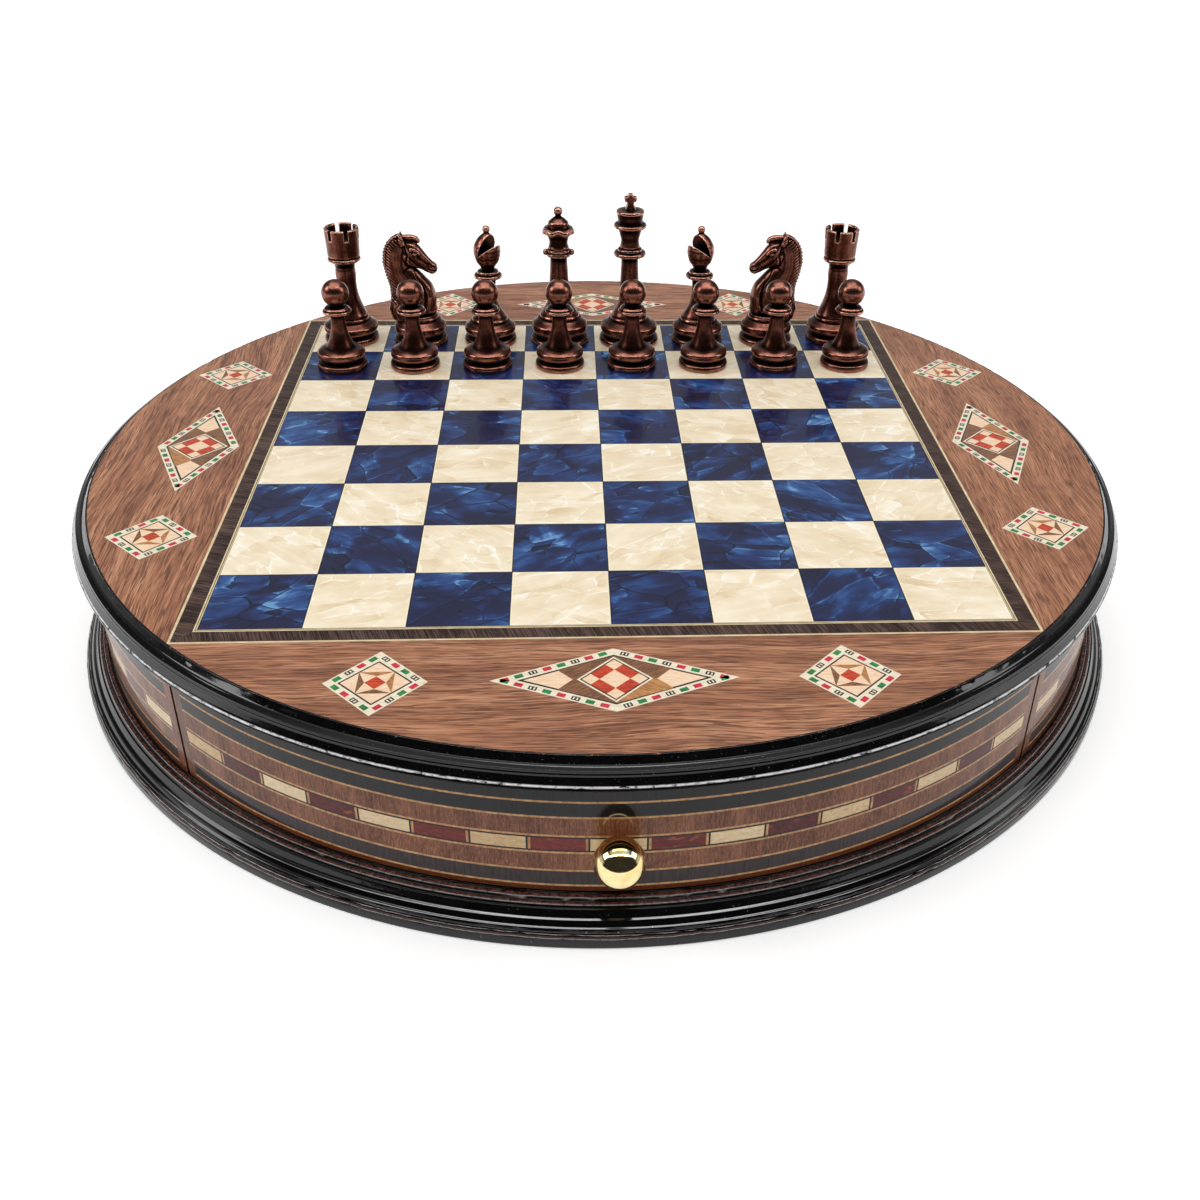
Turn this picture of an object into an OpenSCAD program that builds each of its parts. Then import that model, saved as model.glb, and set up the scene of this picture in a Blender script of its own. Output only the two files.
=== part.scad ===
// Round chess box: an inlaid board on a drum-shaped case with two curved drawers, and one army of men.
// Origin at the centre of the underside, +Z up. The front drawer faces -Y. All sizes in millimetres.

/* [Board] */
// Side of one chess square
square_w = 29; // [26:0.5:32]
// Width of the pale line around the playing field
inner_line_w = 1; // [0.6:0.1:2]
// Width of the dark border
border_w = 4.8; // [3:0.2:8]
// Width of the pale line around the border
outer_line_w = 0.9; // [0.6:0.1:2]
// How much of each frame corner the round edge cuts off
corner_cut = 0.3; // [0.2:0.1:1]
// Thickness of the veneers and inlays on the top
veneer_t = 0.6; // [0.4:0.1:1]
// Thickness of the board that carries the veneers
top_board_t = 9; // [8.5:0.5:14]
// Width of the joint between neighbouring squares
square_joint = 0.1; // [0.05:0.05:0.3]

/* [Lozenges] */
// Half length of a large lozenge
large_half_l = 33.5; // [25:0.5:38]
// Half width of a large lozenge
large_half_w = 14.2; // [10:0.2:15]
// Half length of a small lozenge
small_half_l = 13.9; // [10:0.2:15]
// Half width of a small lozenge
small_half_w = 14.3; // [10:0.2:15]
// Clear veneer between the frame and the lozenges
lozenge_inset = 5.1; // [3:0.2:7]
// Distance of a small lozenge from the middle of its side, in squares
small_offset_squares = 2.19; // [2.1:0.01:2.3]

/* [Case] */
// Height of the drum wall
wall_h = 36; // [33:0.5:50]
// Thickness of the drum wall
wall_t = 8; // [6:0.5:10]
// How far the drum wall stands outside the board
wall_step = 1.8; // [1:0.1:3]
// Thickness of the base board
base_board_t = 10.7; // [8:0.1:14]
// Thickness of the felt under the base
base_felt_t = 1.2; // [0.8:0.1:2]
// Thickness of the partitions beside the drawers
bay_side_t = 8; // [7:0.5:10]
// Thickness of the partition between the two drawers
divider_t = 6; // [5:0.5:9]
// Width of one drawer runner
runner_w = 12; // [8:1:20]
// Thickness of one drawer runner
runner_t = 0.8; // [0.6:0.1:1.5]
// Radius of a carcass screw's shank
screw_r = 1.5; // [1.2:0.1:2]
// Radius of a carcass screw's head
screw_head_r = 3; // [2.6:0.1:3.6]
// Height of a carcass screw's head
screw_head_h = 2; // [1.5:0.1:3]
// Depth of a carcass screw in the partition above the base board
screw_bite = 14; // [8:1:20]

/* [Mouldings] */
// How far the top moulding's bead stands outside the wall
top_bead_out = 4.3; // [3.4:0.1:6]
// Radius of the top moulding's bead
top_bead_r = 1.8; // [1.4:0.1:2.2]
// How far the base moulding stands outside the wall
plinth_out = 9.1; // [8.6:0.1:14]
// Height of the base moulding's upright outer edge
plinth_h = 2.7; // [2:0.1:3.2]
// Width of the base moulding inside the wall's outer face
base_ring_in = 17; // [14:0.5:24]

/* [Drawers] */
// Gap at the ends of a drawer's curved face
seam_gap = 0.8; // [0.5:0.1:1.5]
// Gap above and below a drawer's curved face
face_gap = 0.4; // [0.3:0.1:0.8]
// Gap between a drawer's box and the partitions
side_gap = 0.6; // [0.4:0.1:1]
// Gap between a drawer's underside and its runners
run_gap = 0.2; // [0.1:0.05:0.4]
// Number of upright staves that a curved drawer face is glued up from
stave_count = 9; // [7:2:13]
// Width of the glue joint between two staves
stave_joint = 0.04; // [0.02:0.01:0.08]
// Thickness of a drawer's sides and back
drawer_side_t = 4; // [3:0.5:6]
// Thickness of a drawer's bottom
drawer_bottom_t = 3; // [2.5:0.5:5]
// Height of a drawer's sides
drawer_side_h = 29; // [20:1:31]
// Thickness of the felt lining in a drawer
lining_t = 1; // [0.6:0.1:2]
// Thickness of the dividers in a drawer
cell_wall_t = 3; // [2:0.5:5]
// Height of the dividers in a drawer
cell_wall_h = 23; // [14:1:25]
// Clear length of the cells in a drawer's rear row
rear_cell_l = 64; // [52:1:80]
// Radius of a knob's ball
knob_r = 6.2; // [5:0.1:8]
// Radius of a knob's neck
knob_neck_r = 2.6; // [2.2:0.1:4]
// Length of a knob's neck
knob_neck_l = 0.8; // [0.5:0.1:5]
// Radius of a knob's foot plate
knob_plate_r = 3.2; // [3:0.1:6]
// Thickness of a knob's foot plate
knob_plate_t = 0.6; // [0.4:0.1:1.5]
// Radius of a knob screw
knob_screw_r = 1.4; // [1:0.1:1.7]
// Clearance around a knob screw
knob_screw_gap = 0.1; // [0.05:0.05:0.3]

/* [Banding] */
// Thickness of the inlays in the wall and the drawer faces
inlay_t = 0.6; // [0.4:0.1:1.2]
// Plain wood at each end of a banded panel
panel_margin = 2.7; // [1.5:0.1:6]
// How far the plain wood bands lie behind the inlays and the panel's ends
band_drop = 0.04; // [0.02:0.02:0.1]
// Height of each of the two upper dark bands
upper_band_h = 4.5; // [3:0.1:5]
// Height of a pale line
line_h = 0.65; // [0.4:0.05:0.9]
// Height of each of the two plain wood bands
wood_band_h = 5.7; // [4:0.1:6.5]
// Width of the thin dark line around the tiles
thin_h = 0.55; // [0.3:0.05:0.7]
// Height of the row of tiles
tile_h = 4; // [3:0.1:5]
// Height of the lower dark band
lower_band_h = 4.6; // [3:0.1:5]
// Number of tiles on each panel
tile_count = 17; // [9:2:25]

/* [Chessmen] */
// How far the back row stands in from the middle of its squares
back_row_in = 2; // [0:0.5:3]
// Radius of the king's foot
king_foot_r = 12.3; // [11:0.1:13.5]
// Height of the king's stem
king_stem_h = 35; // [30:1:42]
// Radius of the queen's foot
queen_foot_r = 12.1; // [11:0.1:13.5]
// Height of the queen's stem
queen_stem_h = 35; // [28:1:40]
// Radius of a bishop's foot
bishop_foot_r = 10.8; // [10:0.1:12.5]
// Height of a bishop's stem
bishop_stem_h = 26.5; // [22:0.5:32]
// Radius of a knight's foot
knight_foot_r = 11; // [10:0.1:12.5]
// Height of a knight's head above its foot
knight_head_h = 34.5; // [32:0.5:38]
// Radius of a rook's foot
rook_foot_r = 11; // [10:0.1:12.5]
// Height of a rook's stem
rook_stem_h = 32; // [26:1:38]
// Radius of a pawn's foot
pawn_foot_r = 9.8; // [9:0.1:11.5]
// Height of a pawn's stem
pawn_stem_h = 20.5; // [17:0.5:26]

/* [Hidden] */
$fn = 120;
cut = 1; // how far a cutting tool runs past the face it cuts

// Playing field and its frame
field_half = 4 * square_w;
border_half = field_half + inner_line_w + border_w;
frame_half = border_half + outer_line_w;
disc_r = frame_half * sqrt(2) - corner_cut;
lozenge_y = frame_half + lozenge_inset + small_half_w;
small_offset = small_offset_squares * square_w;

// Radii of the drum
wall_r = disc_r + wall_step;
wall_in_r = wall_r - wall_t;
plinth_r = wall_r + plinth_out;
base_board_r = wall_r - base_ring_in;

// Heights of the layers, from the underside up
deck_z = base_felt_t + base_board_t;
wall_top = deck_z + wall_h;
veneer_z = wall_top + top_board_t;
top_z = veneer_z + veneer_t;

// Drawer bay and drawer face
seam_x = wall_r * sin(45) + seam_gap / 2;
face_x = seam_x - seam_gap;
bay_side_in = face_x - 4.2;
bay_front_r = wall_in_r - 0.4;
box_x = bay_side_in - side_gap;
cell_x = box_x - drawer_side_t;
face_bottom = deck_z + face_gap;
face_top = wall_top - face_gap;
drawer_z = deck_z + runner_t + run_gap;
floor_z = drawer_z + drawer_bottom_t;
lining_z = floor_z + lining_t;
box_back = divider_t / 2 + 1;
rear_cell_y = box_back + drawer_side_t;
cross_y = rear_cell_y + rear_cell_l;
cell_columns = 4;
cell_pitch = (2 * cell_x + cell_wall_t) / cell_columns;
ball_y = wall_r + knob_plate_t + knob_neck_l + sqrt(knob_r * knob_r - knob_neck_r * knob_neck_r);
knob_bore_l = 5;
knob_screw_head_r = 2.7;
knob_screw_head_h = 1.8;
runner_x = box_x - 16;

// Heights of the band edges below the wall's top
band_heights = [upper_band_h, line_h, upper_band_h, line_h, wood_band_h, line_h, thin_h, tile_h,
    thin_h, line_h, wood_band_h, line_h, lower_band_h, line_h];
function band_depth(i) = i == 0 ? 0 : band_depth(i - 1) + band_heights[i - 1];

// The knob sits in the middle of the row of tiles
knob_z = wall_top - (band_depth(7) + band_depth(8)) / 2;

// Angles of the banded panels, measured from the middle of each panel
face_half_a = asin((face_x - panel_margin) / wall_r);
wall_half_a = 90 - asin((seam_x + panel_margin) / wall_r);
line_a = line_h / wall_r * 180 / PI;
thin_a = thin_h / wall_r * 180 / PI;

// Foot, bead and collar that every chessman stands on
foot_h = 2.9;
foot_bead_z = 3.8;
foot_bead_h = 4.6;
collar_z = 10;
collar_h = 1.1;

DRAWER_NODES = ["face", "box", "bottom", "lining", "dividers", "black_bands", "stringing",
    "cream_tiles", "red_tiles", "knob", "knob_screw"];

// ---- outlines -----------------------------------------------------------------------------------

// Half-round bead that stands out from radius r0 to radius r1 between the heights z0 and z1
function bead(r0, r1, z0, z1, steps = 6) =
    [for (i = [0:steps]) let (a = -90 + 180 * i / steps)
        [r0 + (r1 - r0) * cos(a), (z0 + z1) / 2 + (z1 - z0) / 2 * sin(a)]];

// Hollow curve that sweeps in from (r0, z0) and ends upright at (r1, z1)
function cove(r0, z0, r1, z1, steps = 6) =
    [for (i = [0:steps]) let (a = 90 * i / steps)
        [r1 + (r0 - r1) * (1 - sin(a)), z0 + (z1 - z0) * (1 - cos(a))]];

// Swelling curve that leaves (r0, z0) upright and ends flat at (r1, z1)
function dome(r0, z0, r1, z1, steps = 6) =
    [for (i = [0:steps]) let (a = 90 * i / steps)
        [r1 + (r0 - r1) * cos(a), z0 + (z1 - z0) * sin(a)]];

// ---- shared shapes ------------------------------------------------------------------------------

// Part of a ring between two radii and two heights, centred on -Y and turned by mid_a
module arc_block(r0, r1, z0, z1, half_a, mid_a = 0)
    rotate([0, 0, -90 + mid_a - half_a])
        rotate_extrude(angle = 2 * half_a)
            translate([r0, z0]) square([r1 - r0, z1 - z0]);

// Everything within the drum's radius r and above its base
module drum(r, z0, z1) translate([0, 0, z0]) cylinder(r = r, h = z1 - z0);

// Inlay strip of one panel, between the band edges i and j below the wall's top
module strip(i, j, half_a, mid_a)
    arc_block(wall_r - inlay_t, wall_r, wall_top - band_depth(j), wall_top - band_depth(i), half_a, mid_a);

// Grooves of one panel that the inlay strips lie in, and the shallow drop of its plain bands
module grooves(half_a, mid_a) {
    for (span = [[0, 4, cut], [5, 10, 0], [11, 14, 0]])
        arc_block(wall_r - inlay_t, wall_r + cut, wall_top - band_depth(span[1]),
            wall_top - band_depth(span[0]) + span[2], half_a, mid_a);
    arc_block(wall_r - band_drop, wall_r + cut, deck_z - cut, wall_top + cut, half_a, mid_a);
}

// Angle at which tile edge i of a panel lies
function edge_a(i, half_a) = -half_a + 2 * half_a * i / tile_count;

// Dark bands and thin dark lines of one panel, with the uprights beside the pale tiles
module panel_black(half_a, mid_a) {
    strip(0, 1, half_a, mid_a);
    strip(2, 3, half_a, mid_a);
    strip(12, 13, half_a, mid_a);
    difference() {
        strip(6, 9, half_a, mid_a);
        for (i = [0:tile_count - 1])
            let (lo = edge_a(i, half_a) + (i % 2 == 0 ? (i == 0 ? 0 : thin_a) : 0),
                hi = edge_a(i + 1, half_a) - (i % 2 == 0 ? (i == tile_count - 1 ? 0 : thin_a) : 0))
                arc_block(wall_r - inlay_t - cut, wall_r + cut, wall_top - band_depth(8),
                    wall_top - band_depth(7), (hi - lo) / 2, mid_a + (hi + lo) / 2);
    }
}

// Pale lines of one panel, with the uprights beside the red tiles
module panel_lines(half_a, mid_a) {
    for (i = [1, 3, 5, 9, 11, 13])
        strip(i, i + 1, half_a, mid_a);
    for (i = [1:2:tile_count - 2], side = [0, 1])
        strip(7, 8, line_a / 2, mid_a + edge_a(i + side, half_a) + (0.5 - side) * line_a);
}

// Tiles of one panel that start at the tile number first
module panel_tiles(first, half_a, mid_a)
    for (i = [first:2:tile_count - 1])
        let (edge = first == 0 ? thin_a : line_a,
            lo = edge_a(i, half_a) + (i == 0 ? 0 : edge),
            hi = edge_a(i + 1, half_a) - (i == tile_count - 1 ? 0 : edge))
            strip(7, 8, (hi - lo) / 2, mid_a + (hi + lo) / 2);

// ---- case ---------------------------------------------------------------------------------------

module base_felt() color("#2f3a2e") drum(base_board_r + 12, 0, base_felt_t);

module base_moulding() {
    outline = concat(
        [[base_board_r, base_felt_t], [plinth_r, base_felt_t], [plinth_r, base_felt_t + plinth_h]],
        [[plinth_r - 0.5, base_felt_t + plinth_h + 0.5], [plinth_r - 1.2, base_felt_t + plinth_h + 0.8]],
        dome(plinth_r - 1.5, base_felt_t + plinth_h + 1.3, wall_r + 5.2, deck_z - 4.1),
        cove(wall_r + 5.2, deck_z - 4.1, wall_r + 3.4, deck_z - 2.5, 4),
        [[wall_r + 2.4, deck_z - 2], [wall_r + 2.4, deck_z - 1.5], [wall_r + 1.4, deck_z - 1.1]],
        [[wall_r + 1.4, deck_z - 0.5], [wall_r + 0.4, deck_z], [base_board_r, deck_z]]);
    color("#1c1614") rotate_extrude() polygon(outline);
}

module base_board()
    color("#b08d62")
        difference() {
            drum(base_board_r, base_felt_t, deck_z);
            screw_places() {
                translate([0, 0, -cut]) cylinder(r = screw_head_r, h = screw_head_h + cut);
                cylinder(r = screw_r, h = base_board_t + cut);
            }
        }

// Puts its children at the underside of the base board below each partition
module screw_places()
    translate([0, 0, base_felt_t]) {
        for (side = [-1, 1])
            translate([side * bay_side_in / 2, 0, 0]) children();
        for (side = [-1, 1], row = [-1, 0, 1])
            translate([side * (bay_side_in + bay_side_t / 2), row * 0.4 * wall_r, 0]) children();
    }

module carcass_screws()
    color("silver")
        screw_places()
            union() {
                cylinder(r = screw_head_r, h = screw_head_h);
                cylinder(r = screw_r, h = base_board_t + screw_bite);
            }

module drawer_runners()
    color("#d8c08c")
        for (side = [-1, 1], end = [-1, 1])
            intersection() {
                translate([side * runner_x - runner_w / 2, end > 0 ? box_back : -base_board_r, deck_z])
                    cube([runner_w, base_board_r - box_back, runner_t]);
                drum(base_board_r - 2, deck_z, deck_z + runner_t);
            }

module centre_divider()
    color("#b08d62")
        difference() {
            translate([-bay_side_in, -divider_t / 2, deck_z]) cube([2 * bay_side_in, divider_t, wall_h]);
            screw_places() cylinder(r = screw_r, h = base_board_t + screw_bite);
        }

module bay_sides()
    color("#b08d62")
        difference() {
            for (side = [-1, 1])
                intersection() {
                    translate([side > 0 ? bay_side_in : -bay_side_in - bay_side_t, -wall_r, deck_z])
                        cube([bay_side_t, 2 * wall_r, wall_h]);
                    drum(bay_front_r, deck_z, wall_top);
                }
            screw_places() cylinder(r = screw_r, h = base_board_t + screw_bite);
        }

// Curved wall between the two drawers, on the side that side gives
module side_wall(side)
    color("#6b4a35")
        difference() {
            intersection() {
                arc_block(wall_in_r, wall_r, deck_z, wall_top, 60, side * 90);
                translate([side > 0 ? seam_x : -seam_x - wall_r, -wall_r, deck_z])
                    cube([wall_r, 2 * wall_r, wall_h]);
            }
            grooves(wall_half_a, side * 90);
        }

module wall_left() side_wall(-1);
module wall_right() side_wall(1);

module wall_black_bands()
    color("#2b2628")
        for (mid_a = [-90, 90])
            panel_black(wall_half_a, mid_a);

module wall_stringing()
    color("#c99a66")
        for (mid_a = [-90, 90])
            panel_lines(wall_half_a, mid_a);

module wall_cream_tiles()
    color("#dcc49c")
        for (mid_a = [-90, 90])
            panel_tiles(0, wall_half_a, mid_a);

module wall_red_tiles()
    color("#6e2a28")
        for (mid_a = [-90, 90])
            panel_tiles(1, wall_half_a, mid_a);

// ---- board --------------------------------------------------------------------------------------

module top_board() color("#b08d62") drum(disc_r, wall_top, veneer_z);

module top_moulding() {
    bead_r = wall_r + top_bead_out - top_bead_r;
    bead_z = top_z - 6.1;
    outline = concat(
        [[disc_r, wall_top], [wall_r, wall_top]],
        [for (i = [0:4]) let (a = 90 * i / 4)
            [wall_r + (bead_r - wall_r) * sin(a), bead_z - top_bead_r - (bead_z - top_bead_r - wall_top) * cos(a)]],
        [for (i = [1:8]) let (a = -90 + 200 * i / 8)
            [bead_r + top_bead_r * cos(a), bead_z + top_bead_r * sin(a)]],
        [[disc_r + 4.2, top_z - 4.2], [disc_r + 4.2, top_z - 2.6], [disc_r + 4, top_z - 2.4]],
        [[disc_r + 2.6, top_z - 1.7], [disc_r + 2.2, top_z - 1.7]],
        [for (i = [0:4]) let (a = 90 * i / 4)
            [disc_r + 0.6 + 1.6 * (1 - sin(a)), top_z - 1.5 + 1.4 * (1 - cos(a))]],
        [[disc_r + 0.5, top_z], [disc_r, top_z]]);
    color("#141214") rotate_extrude() polygon(outline);
}

// Rhombus with its long axis along X
module rhombus(half_l, half_w)
    polygon([[-half_l, 0], [0, -half_w], [half_l, 0], [0, half_w]]);

module large_places()
    for (turn = [0:3])
        rotate(90 * turn) translate([0, -lozenge_y]) children();

module small_places()
    for (turn = [0:3], side = [-1, 1])
        rotate(90 * turn) translate([side * small_offset, -lozenge_y]) children();

// Square ring between two half widths
module square_ring(inner_half, outer_half)
    difference() {
        square(2 * outer_half, center = true);
        square(2 * inner_half, center = true);
    }

module walnut_veneers()
    color("#8a5a3c")
        translate([0, 0, veneer_z])
            linear_extrude(veneer_t)
                difference() {
                    circle(disc_r);
                    square(2 * frame_half, center = true);
                    large_places() rhombus(large_half_l, large_half_w);
                    small_places() rhombus(small_half_l, small_half_w);
                }

module border_strips()
    color("#3a2a25")
        translate([0, 0, veneer_z])
            linear_extrude(veneer_t) square_ring(field_half + inner_line_w, border_half);

module board_stringing()
    color("#e3cfa4")
        translate([0, 0, veneer_z])
            linear_extrude(veneer_t) {
                square_ring(field_half, field_half + inner_line_w);
                intersection() {
                    square_ring(border_half, frame_half);
                    circle(disc_r);
                }
            }

// Squares whose column and row add up to an even or an odd number
module squares(parity)
    translate([0, 0, veneer_z])
        for (column = [0:7], row = [0:7])
            if ((column + row) % 2 == parity)
                translate([(column - 4) * square_w + square_joint / 2, (row - 4) * square_w + square_joint / 2, 0])
                    cube([square_w - square_joint, square_w - square_joint, veneer_t]);

module blue_squares() color("#1d2b55") squares(0);
module cream_squares() color("#efe6cf") squares(1);

module large_lozenges()
    color("#e8dcc0")
        translate([0, 0, veneer_z])
            linear_extrude(veneer_t) large_places() rhombus(large_half_l, large_half_w);

module small_lozenges()
    color("#e8dcc0")
        translate([0, 0, veneer_z])
            linear_extrude(veneer_t) small_places() rhombus(small_half_l, small_half_w);

// ---- drawers, each drawn as the front one ---------------------------------------------------------

// Bore for the knob's screw through a drawer's face and its inlays
module screw_bore()
    translate([0, -wall_in_r + cut, knob_z])
        rotate([90, 0, 0]) cylinder(r = knob_screw_r + knob_screw_gap, h = wall_t + 3 * cut);

module drawer_face()
    color("#6b4a35")
        difference() {
            intersection() {
                arc_block(wall_in_r, wall_r, face_bottom, face_top, 60);
                translate([-face_x, -wall_r - cut, face_bottom]) cube([2 * face_x, wall_r, face_top - face_bottom]);
            }
            grooves(face_half_a, 0);
            screw_bore();
            for (i = [1:stave_count - 1])
                rotate([0, 0, 90 * i / stave_count - 45])
                    translate([-stave_joint / 2, -wall_r - cut, face_bottom - cut])
                        cube([stave_joint, wall_t + 2 * cut, wall_h + 2 * cut]);
        }

module drawer_box()
    color("#c9a877")
        intersection() {
            difference() {
                translate([-box_x, -wall_r, drawer_z]) cube([2 * box_x, wall_r - box_back, drawer_side_h]);
                translate([-cell_x, -wall_r - cut, drawer_z - cut])
                    cube([2 * cell_x, wall_r + cut - rear_cell_y, drawer_side_h + 2 * cut]);
            }
            drum(wall_in_r, drawer_z, wall_top);
        }

// Plate that fills a drawer between its sides, its back and its curved face
module drawer_plate(z, thickness, gap)
    intersection() {
        translate([-cell_x + gap, -wall_r, z]) cube([2 * (cell_x - gap), wall_r - rear_cell_y - gap, thickness]);
        drum(wall_in_r - gap, z, z + thickness);
    }

module drawer_bottom() color("#c9a877") drawer_plate(drawer_z, drawer_bottom_t, 0);
module drawer_lining() color("#7a1f22") drawer_plate(floor_z, lining_t, 0.2);

module drawer_dividers()
    color("#c9a877")
        difference() {
            intersection() {
                union() {
                    translate([-cell_x, -cross_y - cell_wall_t, lining_z]) cube([2 * cell_x, cell_wall_t, cell_wall_h]);
                    for (i = [1:cell_columns - 1])
                        translate([-cell_x - cell_wall_t + i * cell_pitch, -wall_r, lining_z])
                            cube([cell_wall_t, wall_r - rear_cell_y, cell_wall_h]);
                }
                drum(wall_in_r - 0.1, lining_z, wall_top);
            }
            translate([0, -wall_in_r + 5, knob_z])
                rotate([90, 0, 0]) cylinder(r = knob_screw_head_r + 2, h = wall_t);
        }

// Inlays of a drawer face, cut off at the top of the face and bored for the knob's screw
module face_inlay()
    difference() {
        intersection() {
            children();
            drum(wall_r + cut, face_bottom, face_top);
        }
        screw_bore();
    }

module drawer_black_bands() color("#2b2628") face_inlay() panel_black(face_half_a, 0);
module drawer_stringing() color("#c99a66") face_inlay() panel_lines(face_half_a, 0);
module drawer_cream_tiles() color("#dcc49c") face_inlay() panel_tiles(0, face_half_a, 0);
module drawer_red_tiles() color("#6e2a28") panel_tiles(1, face_half_a, 0);

// Turns a shape that stands on +Z so that it points out of the drawer face at knob height
module on_face(y) translate([0, -y, knob_z]) rotate([90, 0, 0]) children();

module drawer_knob()
    color("#d8b04a")
        difference() {
            union() {
                on_face(wall_r) cylinder(r = knob_plate_r, h = knob_plate_t);
                on_face(wall_r) cylinder(r = knob_neck_r, h = ball_y - wall_r);
                translate([0, -ball_y, knob_z]) sphere(r = knob_r);
            }
            on_face(wall_r - cut) cylinder(r = knob_screw_r + knob_screw_gap, h = knob_bore_l + cut);
        }

module drawer_knob_screw()
    color("silver")
        union() {
            on_face(wall_in_r - knob_screw_head_h) cylinder(r = knob_screw_head_r, h = knob_screw_head_h);
            on_face(wall_in_r - knob_screw_head_h)
                cylinder(r = knob_screw_r, h = knob_screw_head_h + wall_t + knob_bore_l - 0.5);
        }

// One piece of the drawer by its short name
module drawer_piece(part) {
    if (part == "face") drawer_face();
    if (part == "box") drawer_box();
    if (part == "bottom") drawer_bottom();
    if (part == "lining") drawer_lining();
    if (part == "dividers") drawer_dividers();
    if (part == "black_bands") drawer_black_bands();
    if (part == "stringing") drawer_stringing();
    if (part == "cream_tiles") drawer_cream_tiles();
    if (part == "red_tiles") drawer_red_tiles();
    if (part == "knob") drawer_knob();
    if (part == "knob_screw") drawer_knob_screw();
}

// ---- chessmen, each drawn standing at the origin --------------------------------------------------

// Foot, bead and collar of a chessman, from the axis out and up to the collar's top
function foot(foot_r, bead_r, collar_r) = concat(
    [[0, 0], [foot_r - 0.4, 0], [foot_r, 0.4], [foot_r, foot_h - 0.4], [foot_r - 0.4, foot_h]],
    [[bead_r - 1.2, foot_h + 0.4]],
    bead(bead_r - 1.2, bead_r, foot_bead_z, foot_bead_z + foot_bead_h),
    [[bead_r - 2.4, foot_bead_z + foot_bead_h + 0.2], [collar_r + 0.3, collar_z]],
    [[collar_r, collar_z + collar_h], [collar_r - 0.8, collar_z + collar_h + 0.1]]);

// Foot and hollow stem, up to the stem's top
function foot_and_stem(foot_r, bead_r, collar_r, stem_r, stem_h) = concat(
    foot(foot_r, bead_r, collar_r),
    cove(collar_r - 0.8, collar_z + collar_h + 0.3, stem_r + 0.4, stem_h - 6, 8),
    [[stem_r, stem_h]]);

module turned(outline) color("#6e4a3c") rotate_extrude() polygon(outline);

module king() {
    z = king_stem_h;
    difference() {
        union() {
            turned(concat(
                foot_and_stem(king_foot_r, king_foot_r - 0.6, 7.5, 3.4, z),
                bead(3.4, 6.5, z + 1.2, z + 3.6), bead(3.4, 4.8, z + 3.7, z + 4.7, 4),
                bead(3.4, 3.9, z + 5, z + 6.2, 4), [[3.6, z + 8]], cove(3.8, z + 9, 6, z + 12.6, 1),
                bead(5.4, 6.6, z + 12.8, z + 14.6), [[5.1, z + 14.8]], dome(5.5, z + 19, 1.6, z + 20.6),
                [[1.4, z + 21.4], [0, z + 21.4]]));
            color("#6e4a3c") {
                translate([-0.8, -0.8, z + 20]) cube([1.6, 1.6, 6.6]);
                translate([-2.5, -0.8, z + 23.6]) cube([5, 1.6, 1.7]);
            }
        }
        for (i = [0:5])
            rotate(60 * i) translate([6.4, 0, z + 15]) cylinder(r = 1.5, h = 4.2);
    }
}

module queen() {
    z = queen_stem_h;
    difference() {
        turned(concat(
            foot_and_stem(queen_foot_r, queen_foot_r - 0.6, 8, 3.4, z),
            bead(3.4, 6.5, z + 1.8, z + 4.2), [[3.8, z + 4.6], [3.6, z + 6], [4, z + 8.3]],
            [[5.4, z + 11], [6.2, z + 12.4], [6.2, z + 13.2], [4.8, z + 13.2]],
            dome(3.9, z + 14.4, 1.6, z + 17.2), bead(1.2, 1.9, z + 17.6, z + 21.1), [[0, z + 21.1]]));
        for (i = [0:5])
            rotate(60 * i + 30) {
                translate([7.3, 0, z + 1]) cylinder(r = 1.7, h = 4);
                translate([7.2, 0, z + 10.5]) cylinder(r = 1.7, h = 4);
            }
    }
}

// Bishop whose cut in the mitre faces the side that side gives
module bishop(side) {
    z = bishop_stem_h;
    difference() {
        turned(concat(
            foot_and_stem(bishop_foot_r, bishop_foot_r - 0.3, 7.7, 2.9, z),
            bead(2.9, 5.7, z + 0.6, z + 2.8), bead(2.9, 4.3, z + 2.9, z + 3.9, 4), [[2.9, z + 5.1]],
            bead(2.9, 5.3, z + 5.6, z + 18.6, 10), bead(1.1, 1.6, z + 18.8, z + 22, 6), [[0, z + 22]]));
        rotate([0, 0, side * -45])
            translate([2.6 * side, -6, z + 14]) rotate([0, side * 35, 0]) translate([-0.5, 0, -4]) cube([1, 12, 9]);
    }
}

// Side view of a knight above its foot, looking to +X, with z its lowest and top its highest point
module knight_side(z, top)
    polygon(concat(
        [[6.8, z], [7.4, z + 7], [6.2, z + 10], [3, z + 14], [-0.8, z + 17.2], [-2.4, z + 18.8]],
        [[-0.4, top - 14.6], [3.8, top - 16.6], [6.2, top - 17.1], [8.6, top - 15.2], [8.6, top - 13.4]],
        [[7.2, top - 11.6], [3, top - 8], [0.8, top - 5], [1.2, top - 2.4], [-4.2, top - 1.6]],
        [[-6.2, top], [-8.4, top - 2.2], [-12, top - 4.8], [-14, top - 8.4], [-14.2, top - 12.6]],
        [[-12.9, z + 15.6], [-11.3, z + 9.6], [-11.4, z + 6], [-12.4, z + 3.4], [-10, z + 1.6], [-6.8, z]]));

// Half widths of a knight from the front, from its foot up, and from above, from its mane to its muzzle
module knight_front(z, top)
    polygon(concat(
        [[-5.8, z], [5.8, z], [5.2, z + 8], [4.2, z + 16], [3.6, top - 10], [3, top - 3.5], [1.6, top]],
        [[-1.6, top], [-3, top - 3.5], [-3.6, top - 10], [-4.2, z + 16], [-5.2, z + 8]]));

module knight_above()
    polygon([[-14.4, -1.2], [-11, -2.8], [-7, -5.2], [0, -5.8], [6, -4.2], [8.8, -2.2],
        [8.8, 2.2], [6, 4.2], [0, 5.8], [-7, 5.2], [-11, 2.8], [-14.4, 1.2]]);

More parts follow.
